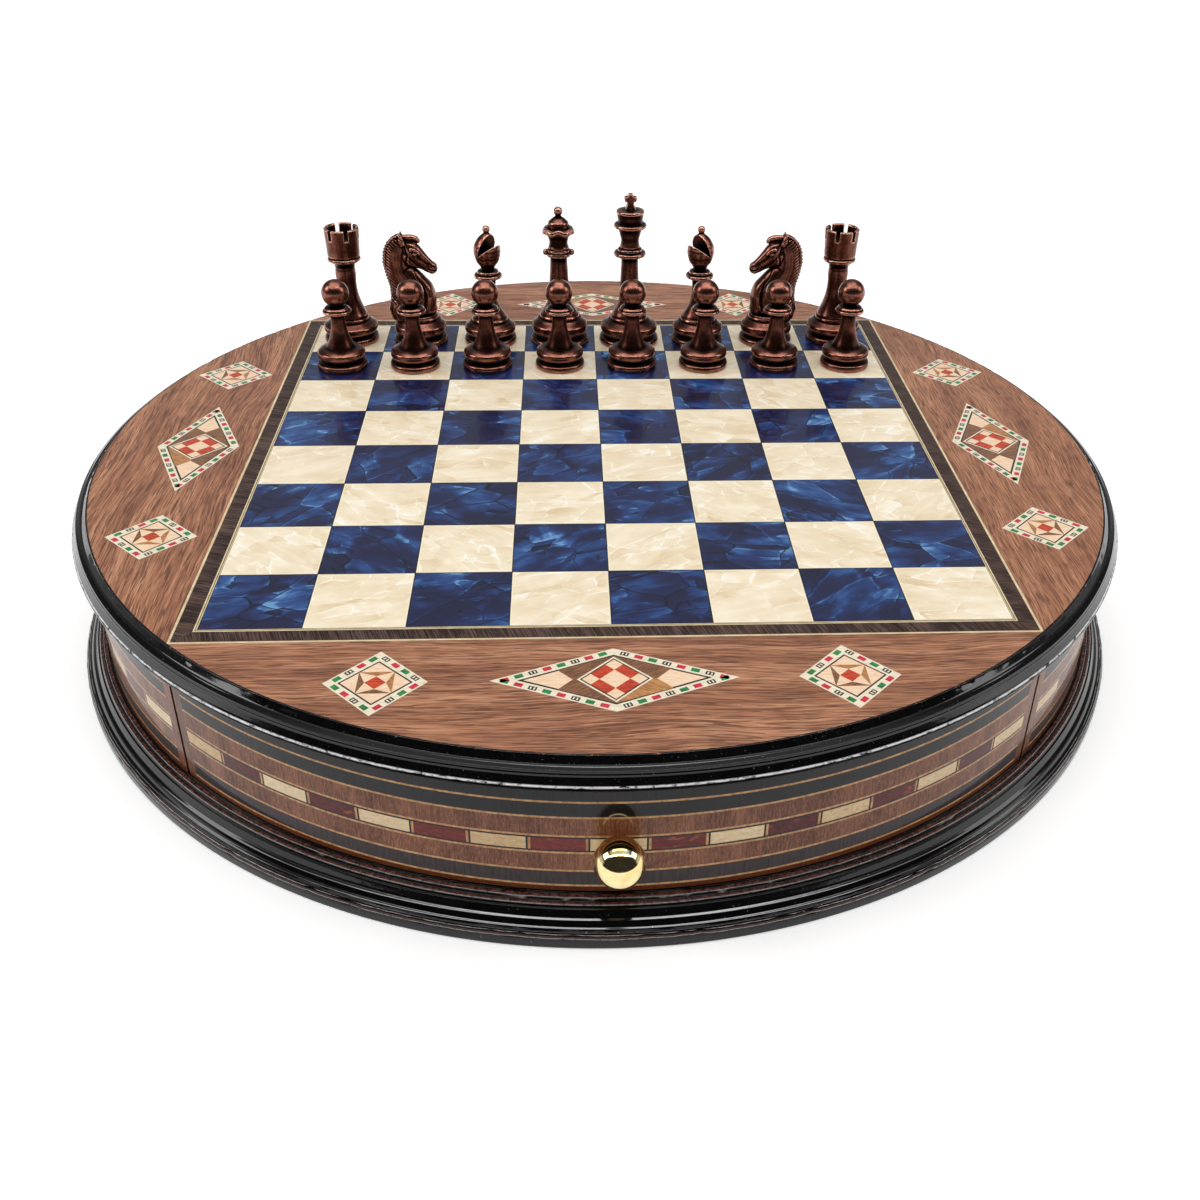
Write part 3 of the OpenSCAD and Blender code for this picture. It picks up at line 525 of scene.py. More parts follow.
def base_lacquer():
    """Black lacquer of the base moulding, rubbed to brown wood on its treads, with pale lines on its tread edges and
    ridges that are partly chipped wear and partly painted highlights.
    """
    g = Graph("base_lacquer")
    z, r = height_and_radius(g)
    wander = z + (g.noise(g.mm, 4, 0.6, 0.1) - 0.5) * 0.5
    wood = g.noise(g.mm * (0.7, 0.7, 1.5), 5, 0.7)
    chips = g.noise(g.mm * (0.8, 0.8, 1.6), 4, 0.8)
    up = z.fit(9.9, 10.2)
    treads = g.most(r.band(WALL + 0.8, WALL + 1.7, 0.1), r.band(WALL + 2.5, WALL + 3.15, 0.1)) * up
    foot = r.fit(WALL + 7.7, WALL + 7.9) * z.fit(5.2, 5.5, 1, 0)
    between = foot * wander.band(3.25, 4.15, 0.1)
    rubbed = g.most(treads * chips.fit(0.42, 0.54, 0.25, 0.95), between * chips.fit(0.42, 0.56, 0, 0.4))
    # Pale lines on the tread edges and ridges: partly chipped lacquer, partly painted highlights.
    edges = g.most(r.band(WALL + 1.85, WALL + 2.0, 0.05), r.band(WALL + 3.25, WALL + 3.4, 0.05)) * up
    ridges = g.most(wander.band(4.4, 4.54, 0.05), wander.band(3.4, 3.54, 0.05)) * r.fit(WALL + 8.2, WALL + 8.4)
    wear_and_painted_highlight = g.most(edges * chips.fit(0.36, 0.5, 0.1, 0.6), ridges * chips.fit(0.36, 0.5, 0.2, 0.9))
    black = g.ramp(g.noise(g.mm, 3, scale=0.25), (0.3, 5, 4, 5), (0.7, 12, 10, 11))
    brown = g.ramp(wood, (0.34, 40, 16, 10), (0.5, 92, 44, 32), (0.7, 140, 84, 66))
    colour = g.mix(wear_and_painted_highlight, g.mix(rubbed, black, brown), srgb(196, 184, 180))
    speck = g.noise(g.mm, 2, 0.6, 1.3).fit(0.71, 0.76)
    colour = g.mix(speck * foot.fit(0, 1, 0.25, 0.8), colour, srgb(206, 200, 194))
    height = wood * (rubbed * 0.8) + (wear_and_painted_highlight * -0.5 + g.noise(g.mm, 2, 0.6, 0.5) * 0.3)
    return g.finish(colour, g.most(rubbed, wear_and_painted_highlight) * 0.35 + 0.07, g.bump(height, 0.3, 0.12), level=0.42)


def brass():
    g = Graph("polished_brass")
    soft = g.noise(g.mm, 3, 0.6, 0.35)
    colour = g.ramp(soft, (0.3, 232, 204, 138), (0.7, 250, 233, 180))
    scratch = g.bump(g.noise(g.mm * (0.6, 5, 5)), 0.04, 0.02)
    return g.finish(colour, soft.fit(0.3, 0.7, 0.05, 0.12), scratch, 1.0)


def antique_copper():
    """Copper plate with black patina where the form is hollow, rubbed bright where it is proud."""
    g = Graph("antique_copper")
    wear = g.node("Attribute", {}, "Fac", attribute_name="wear", attribute_type="GEOMETRY")
    blot = g.noise(g.mm, 4, 0.6, 0.35)
    fine = g.noise(g.mm, 3, 0.6, 2.2)
    shelter = g.node("AmbientOcclusion", {"Distance": 3.5 * MM}, "AO", samples=4, only_local=True)
    value = wear + ((blot - 0.5) * 0.3 + (fine - 0.5) * 0.08) + shelter.fit(0.35, 0.9, -0.38, 0.03)
    colour = g.ramp(value, (0.18, 7, 4, 4), (0.36, 34, 19, 15), (0.52, 82, 47, 38), (0.68, 138, 90, 76),
                    (0.84, 186, 134, 116), (1.0, 222, 172, 150))
    return g.finish(colour, value.fit(0.15, 0.8, 0.42, 0.2), g.bump(fine * 0.5 + blot * 0.6, 0.08, 0.03), 1.0)


def plain_wood(name, dark, light, fleck=0.0):
    g = Graph(name)
    grain = g.noise(g.mm * (0.05, 0.6, 0.6), 4, 0.65)
    flecks = g.noise(g.mm * (0.35, 2.4, 2.4), 1).fit(0.62, 0.7)
    colour = g.mix(flecks * fleck, g.ramp(grain, (0.32, *dark), (0.68, *light)), srgb(*dark))
    return g.finish(colour, grain.fit(0.3, 0.7, 0.55, 0.42), g.bump(grain, 0.2, 0.06), level=0.4)


def felt(name, dark, light):
    g = Graph(name)
    fibres = g.noise(g.mm, 4, 0.75, 2.6)
    colour = g.ramp(fibres * 0.7 + g.noise(g.mm, scale=0.12) * 0.3, (0.35, *dark), (0.65, *light))
    return g.finish(colour, 0.95, g.bump(fibres, 0.7, 0.25), level=0.1, sheen=0.4)


def steel():
    g = Graph("zinc_steel")
    patches = g.noise(g.mm, 3, scale=0.8)
    colour = g.mix(patches.fit(0.3, 0.7), (0.38, 0.39, 0.4), (0.62, 0.62, 0.6))
    return g.finish(colour, patches.fit(0.3, 0.7, 0.28, 0.42), g.bump(patches, 0.1, 0.03), 1.0)


INLAYS = {
    "inlay_cream": ((226, 212, 184), (246, 236, 212)), "inlay_black": ((14, 12, 10), (36, 32, 28)),
    "inlay_red": ((164, 40, 12), (216, 76, 34)), "inlay_brown": ((98, 62, 38), (150, 102, 66), 0.5),
    "inlay_tan": ((146, 92, 48), (204, 146, 88), -0.5), "inlay_green": ((12, 92, 44), (44, 150, 80)),
    "inlay_crimson": ((176, 12, 38), (222, 48, 74)), "inlay_peach": ((236, 198, 160), (252, 222, 190))}
CREAM, BLACK, RED, BROWN, TAN, GREEN, CRIMSON, PEACH = range(len(INLAYS))
MAT = {
    "walnut": walnut_veneer(), "wenge": wenge(), "ivory": ivory_line(), "blue": blue_pearl(), "cream": cream_pearl(),
    "wall_walnut": wall_walnut(), "black_veneer": black_veneer(), "pale": pale_line(),
    "cream_tile": wall_tiles("cream_tile", ((0.3, 190, 152, 104), (0.5, 222, 192, 148), (0.7, 240, 218, 180)),
                             0.66, (170, 120, 76)),
    "red_tile": wall_tiles("red_tile", ((0.3, 58, 16, 18), (0.5, 98, 28, 28), (0.7, 134, 46, 38)), 0.6, (150, 78, 44)),
    "black": black_lacquer(), "base": base_lacquer(), "brass": brass(), "copper": antique_copper(), "steel": steel(),
    "beech": plain_wood("beech", (178, 130, 88), (214, 170, 124), 0.6),
    "plywood": plain_wood("plywood", (176, 136, 92), (212, 176, 130)),
    "red_felt": felt("red_felt", (72, 8, 14), (132, 22, 30)),
    "green_felt": felt("green_felt", (16, 32, 20), (36, 60, 38)),
    **{name: inlay_wood(name, *tones) for name, tones in INLAYS.items()}}

# ---- carried-over nodes ----

CARRIED = {
    "walnut_veneers": "walnut", "border_strips": "wenge", "board_stringing": "ivory", "blue_squares": "blue",
    "cream_squares": "cream", "base_felt": "green_felt", "base_board": "plywood", "drawer_runners": "beech",
    "centre_divider": "plywood", "bay_sides": "plywood", "carcass_screws": "steel", "top_board": "plywood"}
IN_DRAWER = {"box": "beech", "bottom": "beech", "dividers": "beech", "lining": "red_felt", "knob_screw": "steel"}
CARRIED.update({f"{drawer}_drawer_{part}": look for drawer in ("front", "back") for part, look in IN_DRAWER.items()})
for node_name, look in CARRIED.items():
    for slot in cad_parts[node_name].material_slots:
        slot.material = MAT[look]


# ---- mesh helpers ----

def piece(name, points, faces, materials, body, replaced, face_slots=None, sharp=30.0):
    """A mesh object from points in millimetres, riding on a body in the place of a node."""
    mesh = bpy.data.meshes.new(name)
    mesh.from_pydata([tuple(c * MM for c in p) for p in points], [], faces)
    for material in materials:
        mesh.materials.append(material)
    if face_slots is not None:
        mesh.polygons.foreach_set("material_index", face_slots)
    mesh.polygons.foreach_set("use_smooth", [True] * len(mesh.polygons))
    mesh.set_sharp_from_angle(angle=math.radians(sharp))
    mesh.update()
    obj = show(name, mesh)
    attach(obj, body)
    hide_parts(replaced)
    return obj


def spun(x, y, degrees):
    """A place turned around the origin."""
    c, s = math.cos(math.radians(degrees)), math.sin(math.radians(degrees))
    return x * c - y * s, x * s + y * c


def anticlockwise(outline):
    area = sum(p[0] * q[1] - q[0] * p[1] for p, q in zip(outline, outline[1:] + outline[:1]))
    return outline[::-1] if area < 0 else outline


def between_rings(a, b, n):
    """Faces between two rings of n points, which start at a and b."""
    return [(a + k, a + (k + 1) % n, b + (k + 1) % n, b + k) for k in range(n)]


class Blocks:
    """Closed blocks gathered into one mesh."""

    def __init__(self):
        self.points, self.faces, self.slots = [], [], []

    def arc(self, r0, r1, z0, z1, inner, outer, mid, step=0.5):
        """Part of a ring. inner and outer are the end angles at r0 and r1, measured from mid, in degrees."""
        count = max(2, math.ceil((outer[1] - outer[0]) / step))
        start = len(self.points)
        for i in range(count + 1):
            for r, span in ((r0, inner), (r1, outer)):
                a = math.radians(mid + span[0] + (span[1] - span[0]) * (i / count))
                self.points += [(r * math.cos(a), r * math.sin(a), z) for z in (z0, z1)]
        for i in range(count):
            a, b = start + 4 * i, start + 4 * i + 4
            self.faces += [(a + k, b + k, b + m, a + m) for k, m in ((2, 3), (3, 1), (1, 0), (0, 2))]
        end = start + 4 * count
        self.faces += [(start, start + 2, start + 3, start + 1), (end, end + 1, end + 3, end + 2)]
        self.slots += [0] * (4 * count + 2)

    def prism(self, outline, z0, z1, slot):
        """Upright prism over an anticlockwise outline."""
        start, n = len(self.points), len(outline)
        self.points += [(x, y, z) for z in (z0, z1) for x, y in outline]
        self.faces += [tuple(start + n + i for i in range(n)), tuple(start + i for i in reversed(range(n)))]
        self.faces += between_rings(start, start + n, n)
        self.slots += [slot] * (n + 2)

    def make(self, name, materials, body, slot, replaced):
        piece(name, self.points, self.faces, materials, body, replaced, self.slots)


def trace(moves, step=0.12):
    """Dense outline through moves: (r, z) goes straight, (r, z, bulge) swells to the right by bulge times the chord."""
    points = [moves[0][:2]]
    for r1, z1, *bulges in moves[1:]:
        r0, z0 = points[-1]
        bulge = bulges[0] if bulges else 0
        chord = math.hypot(r1 - r0, z1 - z0)
        count = max(1, math.ceil(chord * (1 + 2 * abs(bulge)) / step))
        if not bulge:
            points += [(r0 + (r1 - r0) * i / count, z0 + (z1 - z0) * i / count) for i in range(1, count + 1)]
            continue
        nr, nz = (z1 - z0), -(r1 - r0)
        half = 2 * math.atan(2 * abs(bulge))
        radius = chord / (2 * math.sin(half))
        for i in range(1, count + 1):
            a = -half + 2 * half * i / count
            along = 0.5 + radius * math.sin(a) / chord
            away = math.copysign(1, bulge) * radius * (math.cos(a) - math.cos(half)) / chord
            points.append((r0 + (r1 - r0) * along + nr * away, z0 + (z1 - z0) * along + nz * away))
    return points


def run_length(p):
    """How far along a polyline each of its points is."""
    return np.concatenate([[0], np.cumsum(np.hypot(*np.diff(p, axis=0).T))])


def soften(points, width, spacing=0.06):
    """Rounds every corner of a dense outline, with its ends kept."""
    p = np.array(points)
    length = run_length(p)
    even = np.linspace(0, length[-1], max(8, int(length[-1] / spacing)))
    p = np.stack([np.interp(even, length, p[:, k]) for k in (0, 1)], 1)
    reach = max(1, int(3 * width / spacing))
    kernel = np.exp(-0.5 * (np.arange(-reach, reach + 1) * spacing / width) ** 2)
    kernel /= kernel.sum()
    padded = np.concatenate([2 * p[:1] - p[1:reach + 1][::-1], p, 2 * p[-1:] - p[-reach - 1:-1][::-1]])
    return np.stack([np.convolve(padded[:, k], kernel, "valid") for k in (0, 1)], 1)


def thin_out(points, tolerance=0.012, longest=0.9):
    """Keeps the points that the outline's shape needs."""
    keep = [0]
    while keep[-1] < len(points) - 1:
        i = keep[-1]
        j = i + 1
        while j + 1 < len(points):
            chord = points[j + 1] - points[i]
            span = np.hypot(*chord)
            if span > longest:
                break
            between = points[i + 1:j + 1] - points[i]
            off = np.abs(between[:, 0] * chord[1] - between[:, 1] * chord[0]) / max(span, 1e-9)
            if off.max() > tolerance:
                break
            j += 1
        keep.append(j)
    return points[keep]


def turned(moves, segments=112, round_to=0.13, shape=None):
    """Points and faces of a turned form, from the axis below to the axis above."""
    outline = thin_out(soften(trace(moves), round_to))
    outline[:, 0] = np.maximum(outline[:, 0], 0)
    rings = outline[1:-1]
    points = [(0, 0, outline[0][1])]
    for r, z in rings:
        for a in np.arange(segments) * 2 * np.pi / segments:
            r2, z2 = shape(r, z, a) if shape else (r, z)
            points.append((r2 * math.cos(a), r2 * math.sin(a), z2))
    points.append((0, 0, outline[-1][1]))
    faces = [(0, 1 + (k + 1) % segments, 1 + k) for k in range(segments)]
    for i in range(len(rings) - 1):
        faces += between_rings(1 + i * segments, 1 + (i + 1) * segments, segments)
    last = 1 + (len(rings) - 1) * segments
    faces += [(last + k, last + (k + 1) % segments, len(points) - 1) for k in range(segments)]
    return points, faces


def turned_ring(moves, segments, dent, round_to=0.07):
    """Points and faces of a ring with a closed outline."""
    outline = thin_out(soften(trace(moves + [moves[0][:2]]), round_to), 0.006, 0.5)[:-1]
    n = len(outline)
    points, faces = [], []
    for k in range(segments):
        angle = 2 * math.pi * k / segments
        for r, z in outline:
            r, z = dent(r, z, angle)
            points.append((r * math.cos(angle), r * math.sin(angle), z))
        a, b = k * n, (k + 1) % segments * n
        faces += [(a + i, b + i, b + (i + 1) % n, a + (i + 1) % n) for i in range(n)]
    return points, faces


def add_wear(obj, spread=2):
    """Stores how proud or hollow the surface is at each point: 0.5 is flat, 1 a sharp edge, 0 a groove."""
    mesh = obj.data
    n = len(mesh.vertices)
    place, normal = np.empty(3 * n), np.empty(3 * n)
    mesh.vertices.foreach_get("co", place)
    mesh.vertex_normals.foreach_get("vector", normal)
    place, normal = place.reshape(-1, 3) / MM, normal.reshape(-1, 3)
    edge = np.empty(2 * len(mesh.edges), dtype=np.int32)
    mesh.edges.foreach_get("vertices", edge)
    a, b = edge.reshape(-1, 2).T
    gap = place[b] - place[a]
    length = np.maximum(np.linalg.norm(gap, axis=1), 0.02)
    bend = np.einsum("ij,ij->i", normal[b] - normal[a], gap) / length ** 2
    total, weight = np.zeros(n), np.full(n, 1e-9)
    for end in (a, b):
        np.add.at(total, end, bend * length)
        np.add.at(weight, end, length)
    value = np.clip(total / weight, -4, 4)
    near = 1 / (0.3 + length)
    for _ in range(spread):
        total, weight = value.copy(), np.ones(n)
        for p, q in ((a, b), (b, a)):
            np.add.at(total, p, value[q] * near)
            np.add.at(weight, p, near)
        value = total / weight
    tone = np.where(value > 0, 0.5 + 0.5 * (1 - np.exp(-value / 0.7)), 0.5 - 0.5 * (1 - np.exp(value / 0.35)))
    mesh.attributes.new("wear", "FLOAT", "POINT").data.foreach_set("value", tone.astype(np.float32))


# ---- banded walls and drawer faces ----

def end_angle(r, wall):
    """Half the angle that a wall or a drawer face takes up at radius r."""
    return math.degrees(math.acos(SEAM_X / r)) if wall else math.degrees(math.asin(FACE_X / r))


def panel(prefix, body, mid, wall=None):
    """A drawer face, or the named fixed wall, as five pieces that stand for the node and its inlays."""
    gap = 0 if wall else FACE_GAP
    bottom, top = DECK + gap, WALL_TOP - gap
    half = WALL_HALF if wall else FACE_HALF
    r0, r1 = WALL - INLAY, WALL
    back, deep, front = end_angle(WALL_IN, wall), end_angle(r0, wall), end_angle(r1, wall)
    wood, black, pale, cream, red = (Blocks() for _ in range(5))
    wood.arc(WALL_IN, r0, bottom, top, (-back, back), (-deep, deep), mid)
    for s in (-1, 1):
        wood.arc(r0, r1, bottom, top, sorted((s * half, s * deep)), sorted((s * half, s * front)), mid)

    def strip(blocks, i, lo=-half, hi=half):
        blocks.arc(r0, r1, max(BAND_Z[i + 1], bottom), min(BAND_Z[i], top), (lo, hi), (lo, hi), mid)

    for i in WOOD_BANDS:
        strip(wood, i)
    wood.arc(r0, r1, bottom, BAND_Z[-1], (-half, half), (-half, half), mid)
    for blocks, rows in ((black, BLACK_BANDS), (pale, PALE_BANDS)):
        for i in rows:
            strip(blocks, i)
    for i in range(TILES):
        lo, hi = -half + 2 * half * i / TILES, -half + 2 * half * (i + 1) / TILES
        width, tile, edging = (THIN, cream, black) if i % 2 == 0 else (LINE, red, pale)
        edge = math.degrees(width / WALL)
        if i > 0:
            strip(edging, TILE_BAND, lo, lo + edge)
            lo += edge
        if i < TILES - 1:
            strip(edging, TILE_BAND, hi - edge, hi)
            hi -= edge
        strip(tile, TILE_BAND, lo, hi)
    inlay = "wall_" if wall else body + "_"
    for blocks, part, look, slot, replaced in (
            (wood, "wood", "wall_walnut", "walnut", wall or body + "_face"),
            (black, "black_bands", "black_veneer", "ebonised", inlay + "black_bands"),
            (pale, "stringing", "pale", "pale_line", inlay + "stringing"),
            (cream, "cream_tiles", "cream_tile", "maple_tile", inlay + "cream_tiles"),
            (red, "red_tiles", "red_tile", "red_tile", inlay + "red_tiles")):
        blocks.make(f"{prefix}_{part}", [MAT[look]], body, slot, replaced)


panel("right_wall", "case", 0, "wall_right")
panel("left_wall", "case", 180, "wall_left")
panel("front_face", "front_drawer", -90)
panel("back_face", "back_drawer", 90)


# ---- mouldings ----

BEAD_Z = 51.1
RING_IN = WALL - 17
UNDER_Z = 1.2
FOOT_Z = 0.25


def chip(a, z, scale, seed):
    return noise.noise(Vector((math.cos(a) * scale, math.sin(a) * scale, z * 0.35 + seed)))


def dent_top(r, z, a):
    """Dents on the bead and on the lip."""
    depth = 0
    if abs(z - BEAD_Z) < 0.4 and r > WALL + 3:
        depth = 0.14 * max(0, chip(a, z, 90, 3) - 0.1) * 2
    if z > TOP - 0.8 and r > DISC + 0.2:
        depth = 0.2 * max(0, chip(a, z, 120, 9) - 0.2) * 2
    return r - depth * 0.6, z - depth


def dent_base(r, z, a):
    """Dents on the chipped ridges and on the treads."""
    depth = 0
    if 3.2 < z < 5.4 and r > PLINTH - 2.4:
        depth = 0.25 * max(0, chip(a, z, 110, 5) - 0.05) * 2
    if r < WALL + 2.7 and z > 9:
        depth = 0.22 * max(0, chip(a, z, 140, 7)) * 2
    return r - depth * 0.7, z - depth * 0.7


def from_wall(*moves):
    """Moves whose r is measured from the wall's face."""
    return [(WALL + r, *others) for r, *others in moves]


TOP_MOVES = [(DISC, WALL_TOP)] + from_wall(
    (0, WALL_TOP), (3.2, 49.65, -0.2), (3.75, 49.95, 0.12), (4.1, 50.75, 0.12), (3.75, 51.35, 0.2), (3.5, 51.6, 0.1),
    (2.45, 53.95), (2.52, 54.15, 0.2), (2.36, 54.3, 0.2), (2.2, 54.95), (2.0, 55.15, 0.22), (0.95, 55.7),
    (0.6, 55.82, 0.2), (0.42, 55.62, 0.1), (0.3, 55.66)) + [(DISC + 0.62, TOP - 0.2), (DISC + 0.5, TOP), (DISC, TOP)]
BASE_MOVES = [(RING_IN, UNDER_Z), (PLINTH - 2.4, UNDER_Z), (PLINTH - 2.2, FOOT_Z), (PLINTH - 0.1, FOOT_Z),
              (PLINTH - 0.1, 2.6)]
BASE_MOVES += from_wall(
    (8.85, 2.85, 0.05), (8.98, 3.1, -0.1), (8.9, 3.45, 0.1), (8.8, 3.8), (8.72, 4.15), (8.45, 4.4, 0.1), (8.2, 4.9),
    (7.95, 5.0, 0.1), (7.75, 5.05), (7.6, 5.42, 0.1), (6.95, 5.78, 0.03), (6.8, 5.85), (6.72, 6.1), (6.15, 6.95, 0.02),
    (5.15, 7.5, 0.03), (4.2, 9.55), (3.7, 9.65), (3.3, 10.5), (3.1, 10.62, 0.1), (2.45, 10.65), (2.15, 10.7),
    (2.1, 11.35), (1.9, 11.7, 0.2), (0.75, 11.8), (0.6, 11.5), (0.3, 11.5), (0.2, DECK)) + [(RING_IN, DECK)]
for name, look, moves, segments, dent in (("top", "black", TOP_MOVES, 720, dent_top),
                                          ("base", "base", BASE_MOVES, 480, dent_base)):
    points, faces = turned_ring(moves, segments, dent)
    piece(name + "_moulding_lacquered", points, faces, [MAT[look]], "case", name + "_moulding")


# ---- marquetry lozenges ----

BLOCK_PITCH = 4.1
SET_IN = 0.25
LAYER_STEP = 0.012


def diamond(a, b):
    return [(-a, 0), (0, -b), (a, 0), (0, b)]


def lozenge_layers(half_l, half_w, inner_l, inner_w):
    """A lozenge's ground and banding, as outlines around its centre with their veneer and layer."""
    inside = 1 - 0.6 / inner_w * 1.15
    layers = [(diamond(half_l, half_w), CREAM, 0), (diamond(inner_l, inner_w), BLACK, 1),
              (diamond(inner_l * inside, inner_w * inside), PEACH, 2)]
    corners = diamond(half_l, half_w)
    length = math.hypot(half_l, half_w)
    count = int((length - 1.6) / BLOCK_PITCH)
    for k in range(4):
        (x0, y0), (x1, y1) = corners[k], corners[(k + 1) % 4]
        ux, uy = (x1 - x0) / length, (y1 - y0) / length
        for i in range(count):
            middle = (length - (count - 1) * BLOCK_PITCH) / 2 + i * BLOCK_PITCH
            kind = (GREEN, CRIMSON, BLACK)[(k * count + i) % 3]
            shapes = [(-1.2, 1.2, 0.5, 2.1, kind)]
            if kind == BLACK:
                shapes += [(-0.75, -0.3, 0.8, 1.8, CREAM), (0.25, 0.7, 0.8, 1.8, CREAM)]
            for lo, hi, near, far, look in shapes:
                outline = [(x0 + ux * (middle + s) - uy * t, y0 + uy * (middle + s) + ux * t)
                           for s, t in ((lo, near), (hi, near), (hi, far), (lo, far))]
                layers.append((outline, look, 1 if look == kind else 2))
    return layers


def small_lozenge():
    layers = lozenge_layers(13.9, LOZENGE_HALF, 0.342 * SQ, 0.3375 * SQ)
    half, tip_at, core = 0.165 * SQ, 0.1 * SQ, 0.098 * SQ
    corners = [(-half, -half), (half, -half), (half, half), (-half, half)]
    for k in range(4):
        a, b = corners[k], corners[(k + 1) % 4]
        tip = ((a[0] + b[0]) / 2 * tip_at / half, (a[1] + b[1]) / 2 * tip_at / half)
        layers.append(([a, b, tip], TAN if k in (1, 2) else BROWN, 3))
    return layers + [(diamond(core, core), RED, 3)]


def large_lozenge():
    inner_l, inner_w = 0.9 * SQ, 0.385 * SQ
    layers = lozenge_layers(33.5, 14.2, inner_l, inner_w)
    gap = 0.95
    knee_x, knee_y = 0.53 * SQ, inner_w * (1 - 0.53 / 0.9) * gap
    core = 0.39 * SQ
    for s in (-1, 1):
        for t in (1, -1):
            outline = [(s * knee_x, t * knee_y), (s * core, 0), (0, 0), (0, t * inner_w * gap)]
            layers.append((outline, TAN if s > 0 > t else BROWN, 3))
    for size, look, layer in ((0.352, CREAM, 4), (0.325, BLACK, 5), (0.305, PEACH, 6)):
        layers.append((diamond(size * SQ, size * SQ), look, layer))
    cuts = [-0.305 * SQ, -0.142 * SQ, 0.142 * SQ, 0.305 * SQ]
    for row in range(3):
        for column in range(3):
            if (row + column) % 2 == 1:
                u0, u1, v0, v1 = cuts[row], cuts[row + 1], cuts[column], cuts[column + 1]
                outline = [((u + v) / 2, (u - v) / 2) for u, v in ((u0, v0), (u0, v1), (u1, v1), (u1, v0))]
                layers.append((outline, RED, 7))
    return layers


def lay_lozenges(size, layers, offsets):
    """Sets a lozenge into each of the four veneers at each offset, every layer a hair above the last."""
    blocks = Blocks()
    for turn in range(4):
        for dx in offsets:
            for outline, look, layer in layers:
                placed = [spun(x + dx, y - LOZENGE_Y, 90 * turn) for x, y in outline]
                low = VENEER_Z if layer == 0 else TOP - SET_IN
                blocks.prism(anticlockwise(placed), low, TOP + LAYER_STEP * layer, look)
    blocks.make(size + "_lozenge_marquetry", [MAT[look] for look in INLAYS], "case", "marquetry", size + "_lozenges")


lay_lozenges("large", large_lozenge(), (0,))
lay_lozenges("small", small_lozenge(), (-SMALL_OFFSET, SMALL_OFFSET))


# ---- knobs and chessmen ----

KNOB_R, KNOB_REACH, KNOB_NECK = 6.85, 6.378, 3.1


def ball(radius, height, start):
    """Moves around a ball, from an angle in degrees to its top."""
    return [(radius * math.cos(math.radians(t)), height + radius * math.sin(math.radians(t)))
            for t in range(start, 90, 6)] + [(0, height + radius)]


for body, out in (("front_drawer", 1), ("back_drawer", -1)):
    points, faces = turned([(0, 0), (KNOB_NECK, 0), (KNOB_NECK, 0.35)] + ball(KNOB_R, KNOB_REACH, -60), 96, 0.1)
    points = [(x * out, -out * (WALL + z), KNOB_Z + y) for x, y, z in points]
    piece(body + "_brass_knob", points, faces, [MAT["brass"]], body, body + "_knob")


def shells(parts):
    """Joins several closed forms into one list of points and one of faces."""
    points, faces = [], []
    for some_points, some_faces in parts:
        start = len(points)
        points += list(some_points)
        faces += [tuple(start + i for i in face) for face in some_faces]
    return points, faces


def sculpt(parts, voxel, cutters=(), rounds=3):
    """One smooth skin around several forms, with the cutters taken out, as points, faces and normals."""
    made = []
    for points, faces in (shells(parts), *cutters):
        mesh = bpy.data.meshes.new("form")
        mesh.from_pydata([tuple(p) for p in points], [], faces)
        made.append(show("form", mesh))
    body = made[0]
    for tool in made[1:]:
        having(body.modifiers.new("cut", "BOOLEAN"), object=tool, operation="DIFFERENCE", solver="EXACT")
    having(body.modifiers.new("skin", "REMESH"), mode="VOXEL", voxel_size=voxel)
    having(body.modifiers.new("smooth", "SMOOTH"), factor=0.5, iterations=rounds)
    bpy.context.view_layer.update()
    mesh = body.evaluated_get(bpy.context.evaluated_depsgraph_get()).to_mesh()
    points, normals = np.empty(3 * len(mesh.vertices)), np.empty(3 * len(mesh.vertices))
    mesh.vertices.foreach_get("co", points)
    mesh.vertex_normals.foreach_get("vector", normals)
    faces = [tuple(p.vertices) for p in mesh.polygons]
    for obj in made:
        mesh = obj.data
        bpy.data.objects.remove(obj)
        bpy.data.meshes.remove(mesh)
    return points.reshape(-1, 3), faces, normals.reshape(-1, 3)


def block(outline, y0, y1, turn=0.0):
    """Outline in x and z, pulled along y, then turned around the upright axis."""
    outline = anticlockwise(outline)
    n = len(outline)
    points = [(*spun(x, y, turn), z) for y in (y0, y1) for x, z in outline]
    faces = [tuple(range(n)), tuple(n + i for i in reversed(range(n)))]
    return points, faces + [(i, n + i, n + (i + 1) % n, (i + 1) % n) for i in range(n)]


def set_up(name, parts, file, back=2, rank=3.5):
    """Stands a man on its square, pushed back from the square's middle. file and rank count squares from the centre."""
    points, faces = shells(parts)
    placed = [(x + file * SQ, y + rank * SQ - back, z + TOP) for x, y, z in points]
    add_wear(piece(name + "_cast", placed, faces, [MAT["copper"]], name, name, sharp=70))


def foot_rim(r):
    """Moves of the rim and groove under a foot."""
    return [(0, 0), (r - 0.7, 0), (r, 0.9, 0.25), (r - 0.05, 1.7, 0.1), (r - 0.8, 2.6, 0.2), (r - 1.35, 3.0),
            (r - 1.35, 3.7, -0.12)]


def foot(r, torus, collar, height, stem):
    """Moves of a turned foot: rim, torus and collar."""
    return foot_rim(r) + [
        (torus - 0.5, 4.4), (torus, height * 0.6, 0.1), (torus - 0.55, height * 0.72, 0.15),
        (collar + 0.9, height - 1.5, -0.05), (collar - 0.1, height - 1.1), (collar, height - 0.2, 0.3),
        (collar - 0.5, height + 0.35, 0.15), (stem + 0.25, height + 0.75), (stem, height + 1.4)]


